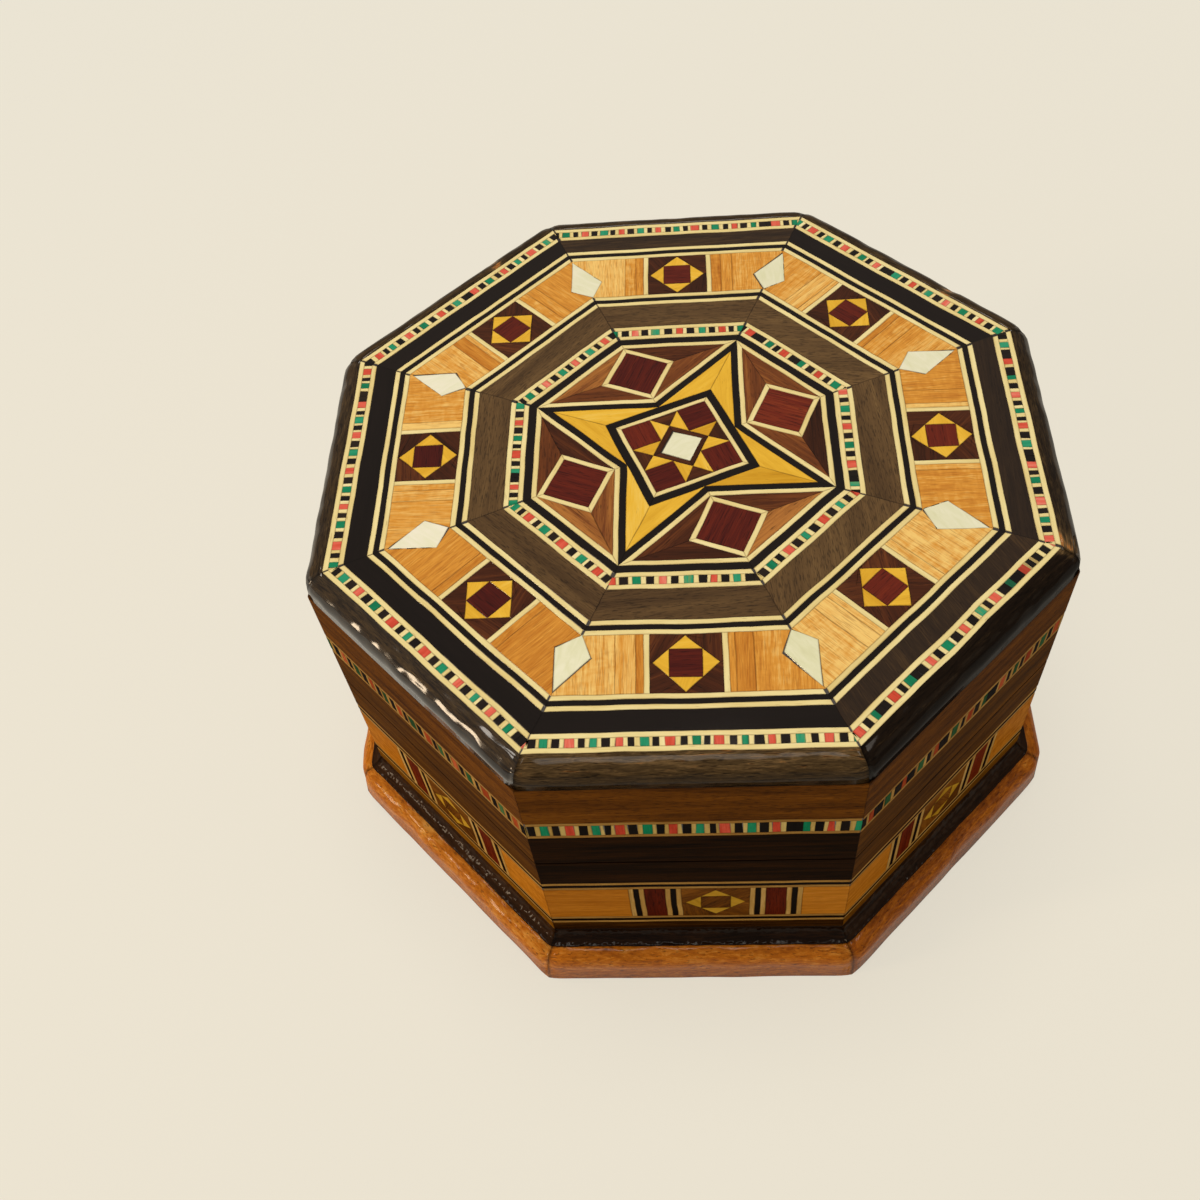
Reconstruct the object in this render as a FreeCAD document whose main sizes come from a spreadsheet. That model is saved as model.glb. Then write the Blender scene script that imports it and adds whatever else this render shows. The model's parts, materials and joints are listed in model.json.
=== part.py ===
import FreeCAD, Part
import math
import os
import Sketcher

# Eight-sided marquetry box with a hinged lid. The front faces -Y, the hinge is at the back,
# and the origin is the middle of the underside.

doc = FreeCAD.newDocument("MosaicBox")

# Driving dimensions in millimetres. The star panel is measured across two opposite flats.
dimensions = {
    # The case
    "wall_thickness": 15.0,
    "base_thickness": 6.0,
    "lid_thickness": 6.0,
    "lining": 1.5,
    "lining_setback": 0.5,
    "pad_clearance": 0.1,
    "seam_gap": 0.3,
    "veneer": 0.8,
    "cut_overrun": 2.0,
    # The mouldings
    "plinth_edge": 5.0,
    "plinth_round": 2.4,
    "cove": 2.1,
    "border_width": 3.0,
    "border_depth": 4.0,
    "border_round": 2.4,
    # The lines and bands of the lid's top, from the border inwards
    "cream_line": 0.75,
    "black_line": 0.8,
    "mosaic_core": 1.3,
    "dark_band": 3.2,
    "motif_band": 9.0,
    "walnut_band": 5.0,
    "panel_edge": 1.2,
    "star_panel": 42.8,
    # The tiles and kites of the motif band
    "tile_length": 9.4,
    "tile_margin": 0.2,
    "kite_length": 9.3,
    "kite_width": 5.2,
    "kite_shoulder": 2.8,
    # The star in the middle
    "star_line": 1.0,
    "square_line": 1.2,
    "square_cream": 0.65,
    # The bands of the veneered sides, from the cove up to the border
    "foot_band": 2.6,
    "side_motif": 10.2,
    "rim_band": 6.95,
    "lid_dark_band": 8.0,
    "side_core": 2.9,
    "lid_walnut_band": 9.45,
    # The motif in the middle of a side
    "side_tile": 9.9,
    "side_tile_margin": 0.55,
    "side_red": 3.0,
    # The motif of the front sits to the right of the middle
    "front_shift": 2.9,
    # The butt hinge
    "hinge_length": 25.0,
    "leaf_depth": 9.0,
    "leaf_thickness": 0.8,
    "knuckle_radius": 1.5,
    "knuckle_gap": 0.1,
    "pin_radius": 0.7,
    "pin_clearance": 0.05,
    "pin_end": 0.3,
    "screw_spacing": 16.0,
    "screw_inset": 4.6,
    "screw_head": 1.05,
    "screw_shank": 0.45,
    "screw_length": 4.0,
    "screw_clearance": 0.03,
}

sheet = doc.addObject("Spreadsheet::Sheet", "Sizes")
for row, (alias, number) in enumerate(dimensions.items(), start=1):
    sheet.set(f"A{row}", alias)
    sheet.set(f"B{row}", str(number))
    sheet.setAlias(f"B{row}", alias)
doc.recompute()

sides = 8
full_turn = 360
side_turn = full_turn / sides
half_turn = side_turn / 2
quarter = 2 * side_turn
mitre = math.tan(math.radians(half_turn))
corner_reach = 1 / math.cos(math.radians(half_turn))
side_names = ["front", "front_right", "right", "back_right", "back", "back_left", "left", "front_left"]
front_facing = -90
front = side_names.index("front")
back = side_names.index("back")

# Half widths that several pieces share, as formulas on the sheet. The rings of the lid's top add up
# to the width of the case.
stringing = "(2 * Sizes.cream_line + Sizes.black_line)"
strip = "(2 * Sizes.cream_line + Sizes.mosaic_core)"
inner_rings = f"({stringing} + Sizes.walnut_band + {strip} + Sizes.panel_edge)"
outer_rings = f"({strip} + Sizes.dark_band + {stringing})"
border_inner = f"(Sizes.star_panel / 2 + {inner_rings} + Sizes.motif_band + {outer_rings})"
case_half = f"({border_inner} + Sizes.border_width)"
stave_outer = f"({case_half} - Sizes.veneer)"
stave_inner = f"({case_half} - Sizes.wall_thickness)"
cavity_half = f"({stave_inner} - Sizes.lining)"
cove_foot = f"({case_half} + Sizes.cove)"
plinth_half = f"({cove_foot} + Sizes.plinth_round)"
hinge_line = f"({case_half} + Sizes.knuckle_gap + Sizes.knuckle_radius)"

# Levels, from the table up. The bands of the sides add up to the height of the box.
plinth_top = "(Sizes.plinth_edge + Sizes.plinth_round)"
cove_top = f"({plinth_top} + Sizes.cove)"
lower_string = f"({cove_top} + Sizes.foot_band)"
side_motif_low = f"({lower_string} + {stringing})"
side_motif_high = f"({side_motif_low} + Sizes.side_motif)"
rim_band_low = f"({side_motif_high} + {stringing})"
rim = f"({rim_band_low} + Sizes.rim_band)"
seam = f"({rim} + Sizes.seam_gap / 2)"
lid_edge = f"({rim} + Sizes.seam_gap)"
lid_strip = f"({lid_edge} + Sizes.lid_dark_band)"
lid_core = f"({lid_strip} + Sizes.cream_line)"
lid_core_top = f"({lid_core} + Sizes.side_core)"
lid_walnut = f"({lid_core_top} + Sizes.cream_line)"
border_low = f"({lid_walnut} + Sizes.lid_walnut_band)"
lid_top = f"({border_low} + Sizes.border_depth)"
board_top = f"({lid_top} - Sizes.veneer)"
board_low = f"({lid_top} - Sizes.lid_thickness)"
ceiling = f"({board_low} - Sizes.lining)"
floor_top = "(Sizes.base_thickness + Sizes.lining)"

nodes = []


def number(formula):
    return float(sheet.evalExpression(formula))


def keep(piece, label):
    piece.Label = label
    nodes.append(piece)
    return piece


# Sketched pieces

def plane(body, role):
    return next(each for each in body.Origin.OriginFeatures if each.Role == role)


def sketch(body, role, name, corners):
    # A corner is (across, up), and one that starts an arc adds (radius, turn), turn 1 to the left.
    drawing = body.newObject("Sketcher::SketchObject", name)
    drawing.AttachmentSupport = [(plane(body, role), "")]
    drawing.MapMode = "FlatFace"
    points = [FreeCAD.Vector(number(each[0]), number(each[1]), 0) for each in corners]
    ends = []
    for index, corner in enumerate(corners):
        start = points[index]
        stop = points[(index + 1) % len(points)]
        if len(corner) == 2:
            ends.append((drawing.addGeometry(Part.LineSegment(start, stop)), 1, 2))
            continue
        radius = number(corner[2])
        chord = stop - start
        across = FreeCAD.Vector(-chord.y, chord.x, 0).normalize()
        rise = math.sqrt(radius ** 2 - (chord.Length / 2) ** 2)
        centre = start + chord / 2 + across * rise * corner[3]
        first, last = (start, stop) if corner[3] > 0 else (stop, start)
        angles = [math.atan2(each.y - centre.y, each.x - centre.x) for each in (first, last)]
        arc = Part.ArcOfCircle(Part.Circle(centre, FreeCAD.Vector(0, 0, 1), radius), *angles)
        ends.append((drawing.addGeometry(arc), *((1, 2) if corner[3] > 0 else (2, 1))))
    for index, corner in enumerate(corners):
        line, start, stop = ends[index]
        following, next_start, next_stop = ends[(index + 1) % len(ends)]
        drawing.addConstraint(Sketcher.Constraint("Coincident", line, stop, following, next_start))
        for kind, formula in zip(("DistanceX", "DistanceY"), corner):
            rule = drawing.addConstraint(Sketcher.Constraint(kind, line, start, number(formula)))
            drawing.setExpression(f"Constraints[{rule}]", formula)
        if len(corner) > 2:
            rule = drawing.addConstraint(Sketcher.Constraint("Radius", line, number(corner[2])))
            drawing.setExpression(f"Constraints[{rule}]", corner[2])
    return drawing


def pad(body, corners, low, high):
    drawing = sketch(body, "XY_Plane", body.Name + "Plan", corners)
    drawing.setExpression("AttachmentOffset.Base.z", low)
    feature = body.newObject("PartDesign::Pad", body.Name + "Pad")
    feature.Profile = drawing
    feature.setExpression("Length", f"{high} - {low}")
    body.Tip = feature
    return feature


def octagon(half):
    reach = f"{half} * {mitre}"
    signs = [(1, -1), (1, 1), (-1, 1), (-1, -1)]
    corners = []
    for right, up in signs:
        on_side = (f"{right} * {half}", f"{up} * {reach}")
        on_end = (f"{right} * {reach}", f"{up} * {half}")
        corners += [on_end, on_side] if right * up < 0 else [on_side, on_end]
    return corners


def mitred(outer, inner):
    # Plan of a length on the front side, with its ends cut for the corners.
    return [
        (f"-{outer} * {mitre}", f"-{outer}"),
        (f"{outer} * {mitre}", f"-{outer}"),
        (f"{inner} * {mitre}", f"-{inner}"),
        (f"-{inner} * {mitre}", f"-{inner}"),
    ]


def length(name, outer, inner, low, high):
    body = doc.addObject("PartDesign::Body", name)
    pad(body, mitred(outer, inner), low, high)
    return body


def moulded(name, outer, inner, low, high, cutter):
    # A mitred length with a profile cut along its outer top edge.
    body = length(name, outer, inner, low, high)
    doc.recompute()
    whole = body.Shape.Volume
    groove = body.newObject("PartDesign::Pocket", name + "Profile")
    groove.Profile = sketch(body, "YZ_Plane", name + "Cutter", cutter)
    groove.Type = "ThroughAll"
    groove.SideType = "Symmetric"
    body.Tip = groove
    doc.recompute()
    if body.Shape.Volume >= whole:
        raise RuntimeError(name + " has no profile")
    return body


round_turn, hollow_turn = -1, 1


def quarter_profile(outer, high, radius, turn):
    # What a cutter takes off the outer top edge to leave a quarter round or a quarter hollow.
    beyond = f"-{outer} - Sizes.cut_overrun"
    above = f"{high} + Sizes.cut_overrun"
    return [
        (f"-{outer}", f"{high} - {radius}", radius, turn),
        (f"-{outer} + {radius}", high),
        (f"-{outer} + {radius}", above),
        (beyond, above),
        (beyond, f"{high} - {radius}"),
    ]


def turned(shape, side):
    copy = shape.copy()
    copy.rotate(FreeCAD.Vector(), FreeCAD.Vector(0, 0, 1), side * side_turn)
    return copy


def ring(master, label):
    # The eight lengths of a frame, each a separate solid.
    piece = doc.addObject("Part::Feature", label)
    piece.Shape = Part.Compound([turned(master.Shape, side) for side in range(sides)])
    return keep(piece, label)


def board(label, steps):
    body = doc.addObject("PartDesign::Body", label)
    for index, (half, low, high) in enumerate(steps):
        drawing = sketch(body, "XY_Plane", f"{label}Plan{index}", octagon(half))
        drawing.setExpression("AttachmentOffset.Base.z", low)
        feature = body.newObject("PartDesign::Pad", f"{label}Pad{index}")
        feature.Profile = drawing
        feature.setExpression("Length", f"{high} - {low}")
        body.Tip = feature
    return keep(body, label)


# Hinge

def solid(kind, name, place, turn=None, **measures):
    piece = doc.addObject(kind, name)
    for measure, formula in measures.items():
        piece.setExpression(measure, formula)
    if turn:
        piece.Placement.Rotation = turn
    for axis, formula in zip("xyz", place):
        piece.setExpression(f"Placement.Base.{axis}", formula)
    return piece


def fused(name, pieces):
    whole = doc.addObject("Part::MultiFuse", name)
    whole.Shapes = pieces
    return whole


def cut(name, base, tool):
    remainder = doc.addObject("Part::Cut", name)
    remainder.Base = base
    remainder.Tool = tool
    return remainder


along_x = FreeCAD.Rotation(FreeCAD.Vector(0, 1, 0), 90)
upside_down = FreeCAD.Rotation(FreeCAD.Vector(1, 0, 0), 180)
screw_line = f"({case_half} - Sizes.leaf_depth + Sizes.screw_inset)"


def barrel(name, start, radius, span):
    return solid("Part::Cylinder", name, (start, hinge_line, seam), along_x, Radius=radius, Height=span)


def countersunk(name, centre, face, upward, clearance):
    # A screw, or the hole for one, whose head fills the thickness of its leaf.
    turn = upside_down if upward else None
    sign = "+" if upward else "-"
    head_foot = f"{face} {sign} Sizes.leaf_thickness"
    tip = f"{face} {sign} Sizes.screw_length"
    place = (centre, screw_line)
    shank_start = head_foot if upward else tip
    head = solid("Part::Cone", name + "Head", (*place, head_foot), turn,
                 Radius1=f"Sizes.screw_shank + {clearance}",
                 Radius2=f"Sizes.screw_head + {clearance}", Height="Sizes.leaf_thickness")
    shank = solid("Part::Cylinder", name + "Shank", (*place, shank_start), None,
                  Radius=f"Sizes.screw_shank + {clearance}",
                  Height="Sizes.screw_length - Sizes.leaf_thickness")
    return fused(name, [head, shank])


knuckles = 5
hinge_start = "(-Sizes.hinge_length / 2)"
knuckle_step = f"((Sizes.hinge_length + Sizes.knuckle_gap) / {knuckles})"
knuckle_span = f"({knuckle_step} - Sizes.knuckle_gap)"


def hinge_leaf(moving):
    # One leaf with every other knuckle, its two screws, and the seat that it leaves in the wood.
    name = "Moving" if moving else "Fixed"
    face = lid_edge if moving else rim
    low = face if moving else f"({rim} - Sizes.leaf_thickness)"
    rear = f"({case_half} - Sizes.leaf_depth)"
    plate_size = {"Length": "Sizes.hinge_length", "Width": "Sizes.leaf_depth",
                  "Height": "Sizes.leaf_thickness"}
    plate = solid("Part::Box", name + "Plate", (hinge_start, rear, low), **plate_size)
    metal = [plate]
    for index in range(1 if moving else 0, knuckles, 2):
        left = f"({hinge_start} + {index} * {knuckle_step})"
        metal.append(barrel(f"{name}Knuckle{index}", left, "Sizes.knuckle_radius", knuckle_span))
        metal.append(solid("Part::Box", f"{name}Tongue{index}", (left, case_half, low), Length=knuckle_span,
                           Width=f"{hinge_line} - {case_half}", Height="Sizes.leaf_thickness"))
    bore_radius = "Sizes.pin_radius + Sizes.pin_clearance"
    bore = barrel(name + "Bore", hinge_start, bore_radius, "Sizes.hinge_length")
    centres = [f"({each} * Sizes.screw_spacing / 2)" for each in (-1, 1)]
    holes = [countersunk(f"{name}Hole{index}", centre, face, moving, "Sizes.screw_clearance")
             for index, centre in enumerate(centres)]
    screws = [countersunk(f"{name}Screw{index}", centre, face, moving, "0")
              for index, centre in enumerate(centres)]
    leaf = cut(name + "Leaf", fused(name + "Metal", metal), fused(name + "Bores", [bore, *holes]))
    seat_plate = solid("Part::Box", name + "SeatPlate", (hinge_start, rear, low), **plate_size)
    seat = fused(name + "Seat", [seat_plate, *holes])
    return leaf, screws, seat


fixed_leaf, fixed_screws, fixed_seat = hinge_leaf(moving=False)
moving_leaf, moving_screws, moving_seat = hinge_leaf(moving=True)
doc.recompute()


# The wooden case

board("base_board", [(stave_outer, "0", "Sizes.base_thickness")])
board("lid_board", [(stave_outer, board_low, border_low), (border_inner, border_low, board_top)])


def staves(prefix, low, high, seat):
    # The back stave also has the seat of the hinge's leaf.
    master = length(prefix + "_stave", stave_outer, stave_inner, low, high)
    doc.recompute()
    for side, side_name in enumerate(side_names):
        piece = doc.addObject("Part::Feature", f"{prefix}_{side_name}")
        shape = turned(master.Shape, side)
        piece.Shape = shape.cut(seat.Shape) if side == back else shape
        keep(piece, f"{prefix}_{side_name}")


staves("body_wall", "Sizes.base_thickness", rim, fixed_seat)
staves("lid_wall", lid_edge, board_low, moving_seat)

ring(moulded("PlinthLength", plinth_half, stave_outer, "0", plinth_top,
             quarter_profile(plinth_half, plinth_top, "Sizes.plinth_round", round_turn)), "plinth_moulding")
ring(moulded("CoveLength", cove_foot, stave_outer, plinth_top, cove_top,
             quarter_profile(cove_foot, cove_top, "Sizes.cove", hollow_turn)), "cove_moulding")
ring(moulded("BorderLength", case_half, border_inner, border_low, lid_top,
             quarter_profile(case_half, lid_top, "Sizes.border_round", round_turn)), "lid_border")

# The velvet lining on card

lower_panel = length("LowerLining", stave_inner, cavity_half, "Sizes.base_thickness",
                     f"({rim} - Sizes.lining_setback)")
upper_panel = length("UpperLining", stave_inner, cavity_half,
                     f"({lid_edge} + Sizes.lining_setback)", board_low)
doc.recompute()
ring(lower_panel, "wall_lining")
ring(upper_panel, "lid_lining")
pad_half = f"({cavity_half} - Sizes.pad_clearance)"
board("floor_pad", [(pad_half, "Sizes.base_thickness", floor_top)])
board("lid_pad", [(pad_half, ceiling, board_low)])

# The brass hinge

keep(fixed_leaf, "hinge_leaf_body")
keep(moving_leaf, "hinge_leaf_lid")
keep(barrel("Pin", f"({hinge_start} - Sizes.pin_end)", "Sizes.pin_radius",
            "Sizes.hinge_length + 2 * Sizes.pin_end"), "hinge_pin")
for label, screws in (("hinge_screws_body", fixed_screws), ("hinge_screws_lid", moving_screws)):
    group = doc.addObject("Part::Compound", label)
    group.Links = screws
    keep(group, label)
doc.recompute()

# Marquetry. Each veneer piece is a prism. On the lid its plan is a polygon about the middle of
# the lid, on a side it is a polygon across and up that side.

size = {alias: number(f"Sizes.{alias}") for alias in dimensions}
veneer = size["veneer"]
outer_half = number(case_half)
top_low = number(board_top)
inlays = {}


def inlay(label, shape):
    inlays.setdefault(label, []).append(shape)


def prism(points, reach):
    corners = [FreeCAD.Vector(*each) for each in points]
    return Part.Face(Part.makePolygon(corners + corners[:1])).extrude(FreeCAD.Vector(*reach))


def facing(side):
    return front_facing + side * side_turn


def crossing(first, second):
    # A line is (direction of its normal, distance from the middle).
    a, b = math.radians(first[0]), math.radians(second[0])
    across = math.sin(b - a)
    return (
        (first[1] * math.sin(b) - second[1] * math.sin(a)) / across,
        (second[1] * math.cos(a) - first[1] * math.cos(b)) / across,
    )


def outline(lines):
    return [crossing(lines[index - 1], line) for index, line in enumerate(lines)]


def frame_bars(outside, inside):
    # The bars between two outlines that have the same number of corners.
    return [
        [outside[index - 1], outside[index], inside[index], inside[index - 1]]
        for index in range(len(outside))
    ]


def flat(label, points):
    inlay(label, prism([(*each, top_low) for each in points], (0, 0, veneer)))


def from_side(direction, along, out):
    # A point along a side and out from the middle, seen from inside with the next side to the left.
    turn = math.radians(direction % full_turn)
    return (
        out * math.cos(turn) - along * math.sin(turn),
        out * math.sin(turn) + along * math.cos(turn),
    )


def at_corner(direction, hand, half):
    # The corner at one end of a side.
    return from_side(direction + hand * half_turn, 0, half * corner_reach)


def band_plan(direction, outer, inner):
    ends = [(-1, outer), (1, outer), (1, inner), (-1, inner)]
    return [at_corner(direction, *each) for each in ends]


def diamond(reach):
    # The four triangles round a square heart, and the heart.
    core = reach / 2
    heart = [(-core, -core), (core, -core), (core, core), (-core, core)]
    tips = [(0, -reach), (reach, 0), (0, reach), (-reach, 0)]
    triangles = [[heart[index], tips[index], heart[(index + 1) % 4]] for index in range(4)]
    return triangles, heart


def diamond_grounds(reach, half_length, half_height):
    # The four corners of a tile outside its diamond.
    grounds = []
    for right, up in ((1, 1), (-1, 1), (-1, -1), (1, -1)):
        corner = [(reach, 0), (half_length, 0), (half_length, half_height), (0, half_height), (0, reach)]
        grounds.append([(right * x, up * y) for x, y in corner])
    return grounds


# The concentric bands of the lid's top, from the border inwards

strip_bands = ("cream_line", "mosaic_core", "cream_line")
stringing_bands = ("cream_line", "black_line", "cream_line")
band_labels = {
    "cream_line": "top_cream_lines",
    "black_line": "top_black_lines",
    "mosaic_core": "top_mosaic_cores",
    "dark_band": "top_dark_band",
    "walnut_band": "top_walnut_band",
    "panel_edge": "star_black_lines",
}
outer_bands = (*strip_bands, "dark_band", *stringing_bands)
inner_bands = (*stringing_bands, "walnut_band", *strip_bands, "panel_edge")


def lay_bands(bands, edge):
    # Lays mitred rings from an outer half width inwards, and gives the half width left inside them.
    for band in bands:
        inner_edge = edge - size[band]
        for side in range(sides):
            flat(band_labels[band], band_plan(facing(side), edge, inner_edge))
        edge = inner_edge
    return edge


motif_outer = lay_bands(outer_bands, number(border_inner))
motif_inner = motif_outer - size["motif_band"]
panel_half = lay_bands(inner_bands, motif_inner)

# The motif band: a tile between two cream lines in the middle of each side, and a pearl kite
# across each corner

tile_half = size["tile_length"] / 2
tile_rise = size["motif_band"] / 2
tile_reach = min(tile_half, tile_rise) - size["tile_margin"]
tile_middle = (motif_inner + motif_outer) / 2
corner_start = motif_inner * corner_reach
kite_half = size["kite_width"] / 2


def kite(direction):
    corner = direction + half_turn
    inner_tip = from_side(corner, 0, corner_start)
    outer_tip = from_side(corner, 0, corner_start + size["kite_length"])
    shoulder_out = corner_start + size["kite_shoulder"]
    shoulders = [from_side(corner, each * kite_half, shoulder_out) for each in (-1, 1)]
    return inner_tip, shoulders, outer_tip


for side in range(sides):
    direction = facing(side)
    triangles, heart = diamond(tile_reach)
    grounds = diamond_grounds(tile_reach, tile_half, tile_rise)
    tile = {"top_tile_points": triangles, "top_tile_grounds": grounds, "top_tile_hearts": [heart]}
    for label, shapes in tile.items():
        for points in shapes:
            flat(label, [from_side(direction, x, tile_middle + y) for x, y in points])
    panel_start = tile_half + size["cream_line"]
    for hand in (-1, 1):
        line = [(tile_half, motif_inner), (panel_start, motif_inner),
                (panel_start, motif_outer), (tile_half, motif_outer)]
        flat("top_divider_lines", [from_side(direction, hand * x, y) for x, y in line])
        inner_tip, shoulders, outer_tip = kite(direction if hand > 0 else direction - side_turn)
        shoulder = shoulders[0] if hand > 0 else shoulders[1]
        flat("top_light_panels", [
            from_side(direction, hand * panel_start, motif_inner),
            inner_tip,
            shoulder,
            outer_tip,
            at_corner(direction, hand, motif_outer),
            from_side(direction, hand * panel_start, motif_outer),
        ])
    inner_tip, shoulders, outer_tip = kite(direction)
    flat("pearl_inlays", [inner_tip, shoulders[0], outer_tip, shoulders[1]])

# The star panel: four rhombic petals point at every other corner, and the four rays of the star
# lie between them round a square

ray_half = panel_half * mitre
cream = size["cream_line"]
yellow_half = ray_half - size["star_line"]
square_outer = yellow_half * corner_reach
square_half = square_outer - size["square_line"]
square_inner = square_half - size["square_cream"]
pearl_frame_share, pearl_share = 0.65, 0.48
frame_reach = square_inner * pearl_frame_share
pearl_reach = square_inner * pearl_share


def square_lines(direction, half):
    return [(direction + each * quarter, half) for each in range(4)]


def petal_lines(direction, inset):
    right, left = direction - half_turn, direction + half_turn
    outer, inner = panel_half - inset, ray_half + inset
    return [(right, outer), (left, outer), (right, inner), (left, inner)]


for petal in range(4):
    direction = half_turn + petal * quarter
    outside = outline(petal_lines(direction, 0))
    inside = outline(petal_lines(direction, cream))
    for bar in frame_bars(outside, inside):
        flat("star_cream_lines", bar)
    # The heart's square reaches from the petal's inner corner to its outer one.
    near = (ray_half + cream) * corner_reach
    far = (panel_half - cream) * corner_reach
    middle, reach = (near + far) / 2, (far - near) / 2
    tips = [from_side(direction, 0, near), from_side(direction, reach, middle),
            from_side(direction, 0, far), from_side(direction, -reach, middle)]
    core = reach - cream * math.sqrt(2)
    heart = [from_side(direction, 0, middle - core), from_side(direction, core, middle),
             from_side(direction, 0, middle + core), from_side(direction, -core, middle)]
    for bar in frame_bars(tips, heart):
        flat("star_cream_lines", bar)
    flat("star_hearts", heart)
    stretch = reach / mitre
    for hand, tip in ((1, tips[1]), (-1, tips[3])):
        point = from_side(direction, hand * stretch, middle)
        flat("petal_grounds", [tips[0], tip, point])
        flat("petal_grounds", [tips[2], tip, point])
    # The ray to the left of the petal, as two yellow halves with black lines along them.
    ray = direction + side_turn
    for hand in (-1, 1):
        axis = (ray + quarter, 0)
        valley = (ray + hand * side_turn + quarter, 0)
        long_edge = ray + hand * (half_turn + side_turn)
        square_edge = (ray + hand * side_turn, square_outer)
        flat("star_points", outline([axis, (long_edge, yellow_half), square_edge]))
        flat("star_black_lines", outline([axis, (long_edge, ray_half), valley, (long_edge, yellow_half)]))

# The square in the middle, with a pearl in a turned frame and a red square in each corner

first_square = half_turn
square_halves = (square_outer, square_half, square_inner)
square_ring = [outline(square_lines(first_square, each)) for each in square_halves]
for bar in frame_bars(square_ring[0], square_ring[1]):
    flat("star_black_lines", bar)
for bar in frame_bars(square_ring[1], square_ring[2]):
    flat("star_cream_lines", bar)
turned_frame = [from_side(first_square + each * quarter, 0, frame_reach) for each in range(4)]
pearl = [from_side(first_square + each * quarter, 0, pearl_reach) for each in range(4)]
for bar in frame_bars(turned_frame, pearl):
    flat("star_grounds", bar)
flat("pearl_inlays", pearl)
notch = frame_reach / 2
apex = (0, frame_reach)
square_pieces = [
    ("star_hearts", [(notch, notch), (notch, square_inner),
                     (square_inner, square_inner), (square_inner, notch)]),
    ("star_grounds", [(-notch, square_inner), (notch, square_inner), apex]),
    ("star_points", [(-notch, square_inner), (-notch, notch), apex]),
    ("star_points", [(notch, square_inner), (notch, notch), apex]),
]
for edge in range(4):
    direction = first_square + edge * quarter
    for label, points in square_pieces:
        flat(label, [from_side(direction, *each) for each in points])

# The veneered sides


def upright(label, direction, points):
    # A piece within one side, from points across and up it.
    corners = [(*from_side(direction, x, outer_half), z) for x, z in points]
    inward = from_side(direction, 0, -veneer)
    inlay(label, prism(corners, (*inward, 0)))


def side_band(label, direction, low, high, seat=None):
    plan = band_plan(direction, outer_half, outer_half - veneer)
    shape = prism([(*each, number(low)) for each in plan], (0, 0, number(high) - number(low)))
    inlay(label, shape.cut(seat.Shape) if seat else shape)


def corner_panel(label, direction, hand, start, low, high):
    inner = outer_half - veneer
    plan = [from_side(direction, hand * start, outer_half), at_corner(direction, hand, outer_half),
            at_corner(direction, hand, inner), from_side(direction, hand * start, inner)]
    inlay(label, prism([(*each, low) for each in plan], (0, 0, high - low)))


motif_low, motif_high = number(side_motif_low), number(side_motif_high)
motif_middle = (motif_low + motif_high) / 2
side_half, side_rise = size["side_tile"] / 2, size["side_motif"] / 2
side_reach = min(side_half, side_rise) - size["side_tile_margin"]

for side in range(sides):
    direction = facing(side)
    at_back = side == back
    side_band("body_dark_bands", direction, cove_top, lower_string)
    side_band("body_dark_bands", direction, rim_band_low, rim, fixed_seat if at_back else None)
    for low, high in ((lower_string, side_motif_low), (side_motif_high, rim_band_low)):
        black_low, black_high = f"{low} + Sizes.cream_line", f"{high} - Sizes.cream_line"
        side_band("body_cream_lines", direction, low, black_low)
        side_band("body_black_lines", direction, black_low, black_high)
        side_band("body_cream_lines", direction, black_high, high)
    side_band("lid_dark_bands", direction, lid_edge, lid_strip, moving_seat if at_back else None)
    side_band("lid_cream_lines", direction, lid_strip, lid_core)
    side_band("lid_mosaic_cores", direction, lid_core, lid_core_top)
    side_band("lid_cream_lines", direction, lid_core_top, lid_walnut)
    side_band("lid_walnut_bands", direction, lid_walnut, border_low)
    # The motif: a tile with a diamond, then lines, a red panel and lines again, then light wood.
    shift = size["front_shift"] if side == front else 0
    triangles, heart = diamond(side_reach)
    grounds = diamond_grounds(side_reach, side_half, side_rise)
    for label, shapes in (("body_tile_points", triangles), ("body_tile_grounds", [*grounds, heart])):
        for points in shapes:
            upright(label, direction, [(shift + x, motif_middle + z) for x, z in points])
    bars = [("body_cream_lines", "cream_line"), ("body_black_lines", "black_line"),
            ("body_cream_lines", "cream_line")]
    for hand in (-1, 1):
        start = side_half
        for label, measure in [*bars, ("body_red_panels", "side_red"), *bars]:
            stop = start + size[measure]
            points = [(start, motif_low), (stop, motif_low), (stop, motif_high), (start, motif_high)]
            upright(label, direction, [(shift + hand * x, z) for x, z in points])
            start = stop
        corner_panel("body_light_panels", direction, hand, start + hand * shift, motif_low, motif_high)

for label, shapes in inlays.items():
    piece = doc.addObject("Part::Feature", label)
    piece.Shape = Part.Compound(shapes)
    keep(piece, label)

# Every object is sound before the files are written.

doc.recompute()
faults = [each.Name for each in doc.Objects if "Invalid" in each.State or "Error" in each.State]
faults += [each.Label for each in nodes if each.Shape.isNull() or not each.Shape.isValid()]
if faults:
    raise RuntimeError("unsound pieces: " + ", ".join(faults))

os.makedirs("parts", exist_ok=True)
for piece in nodes:
    piece.Shape.exportStep(f"parts/{piece.Label}.step")
print(len(nodes), "nodes,", sum(len(each.Shape.Solids) for each in nodes), "solids")
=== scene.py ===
import json
import math
import random

import bpy
from mathutils import Matrix, Vector, noise


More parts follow.
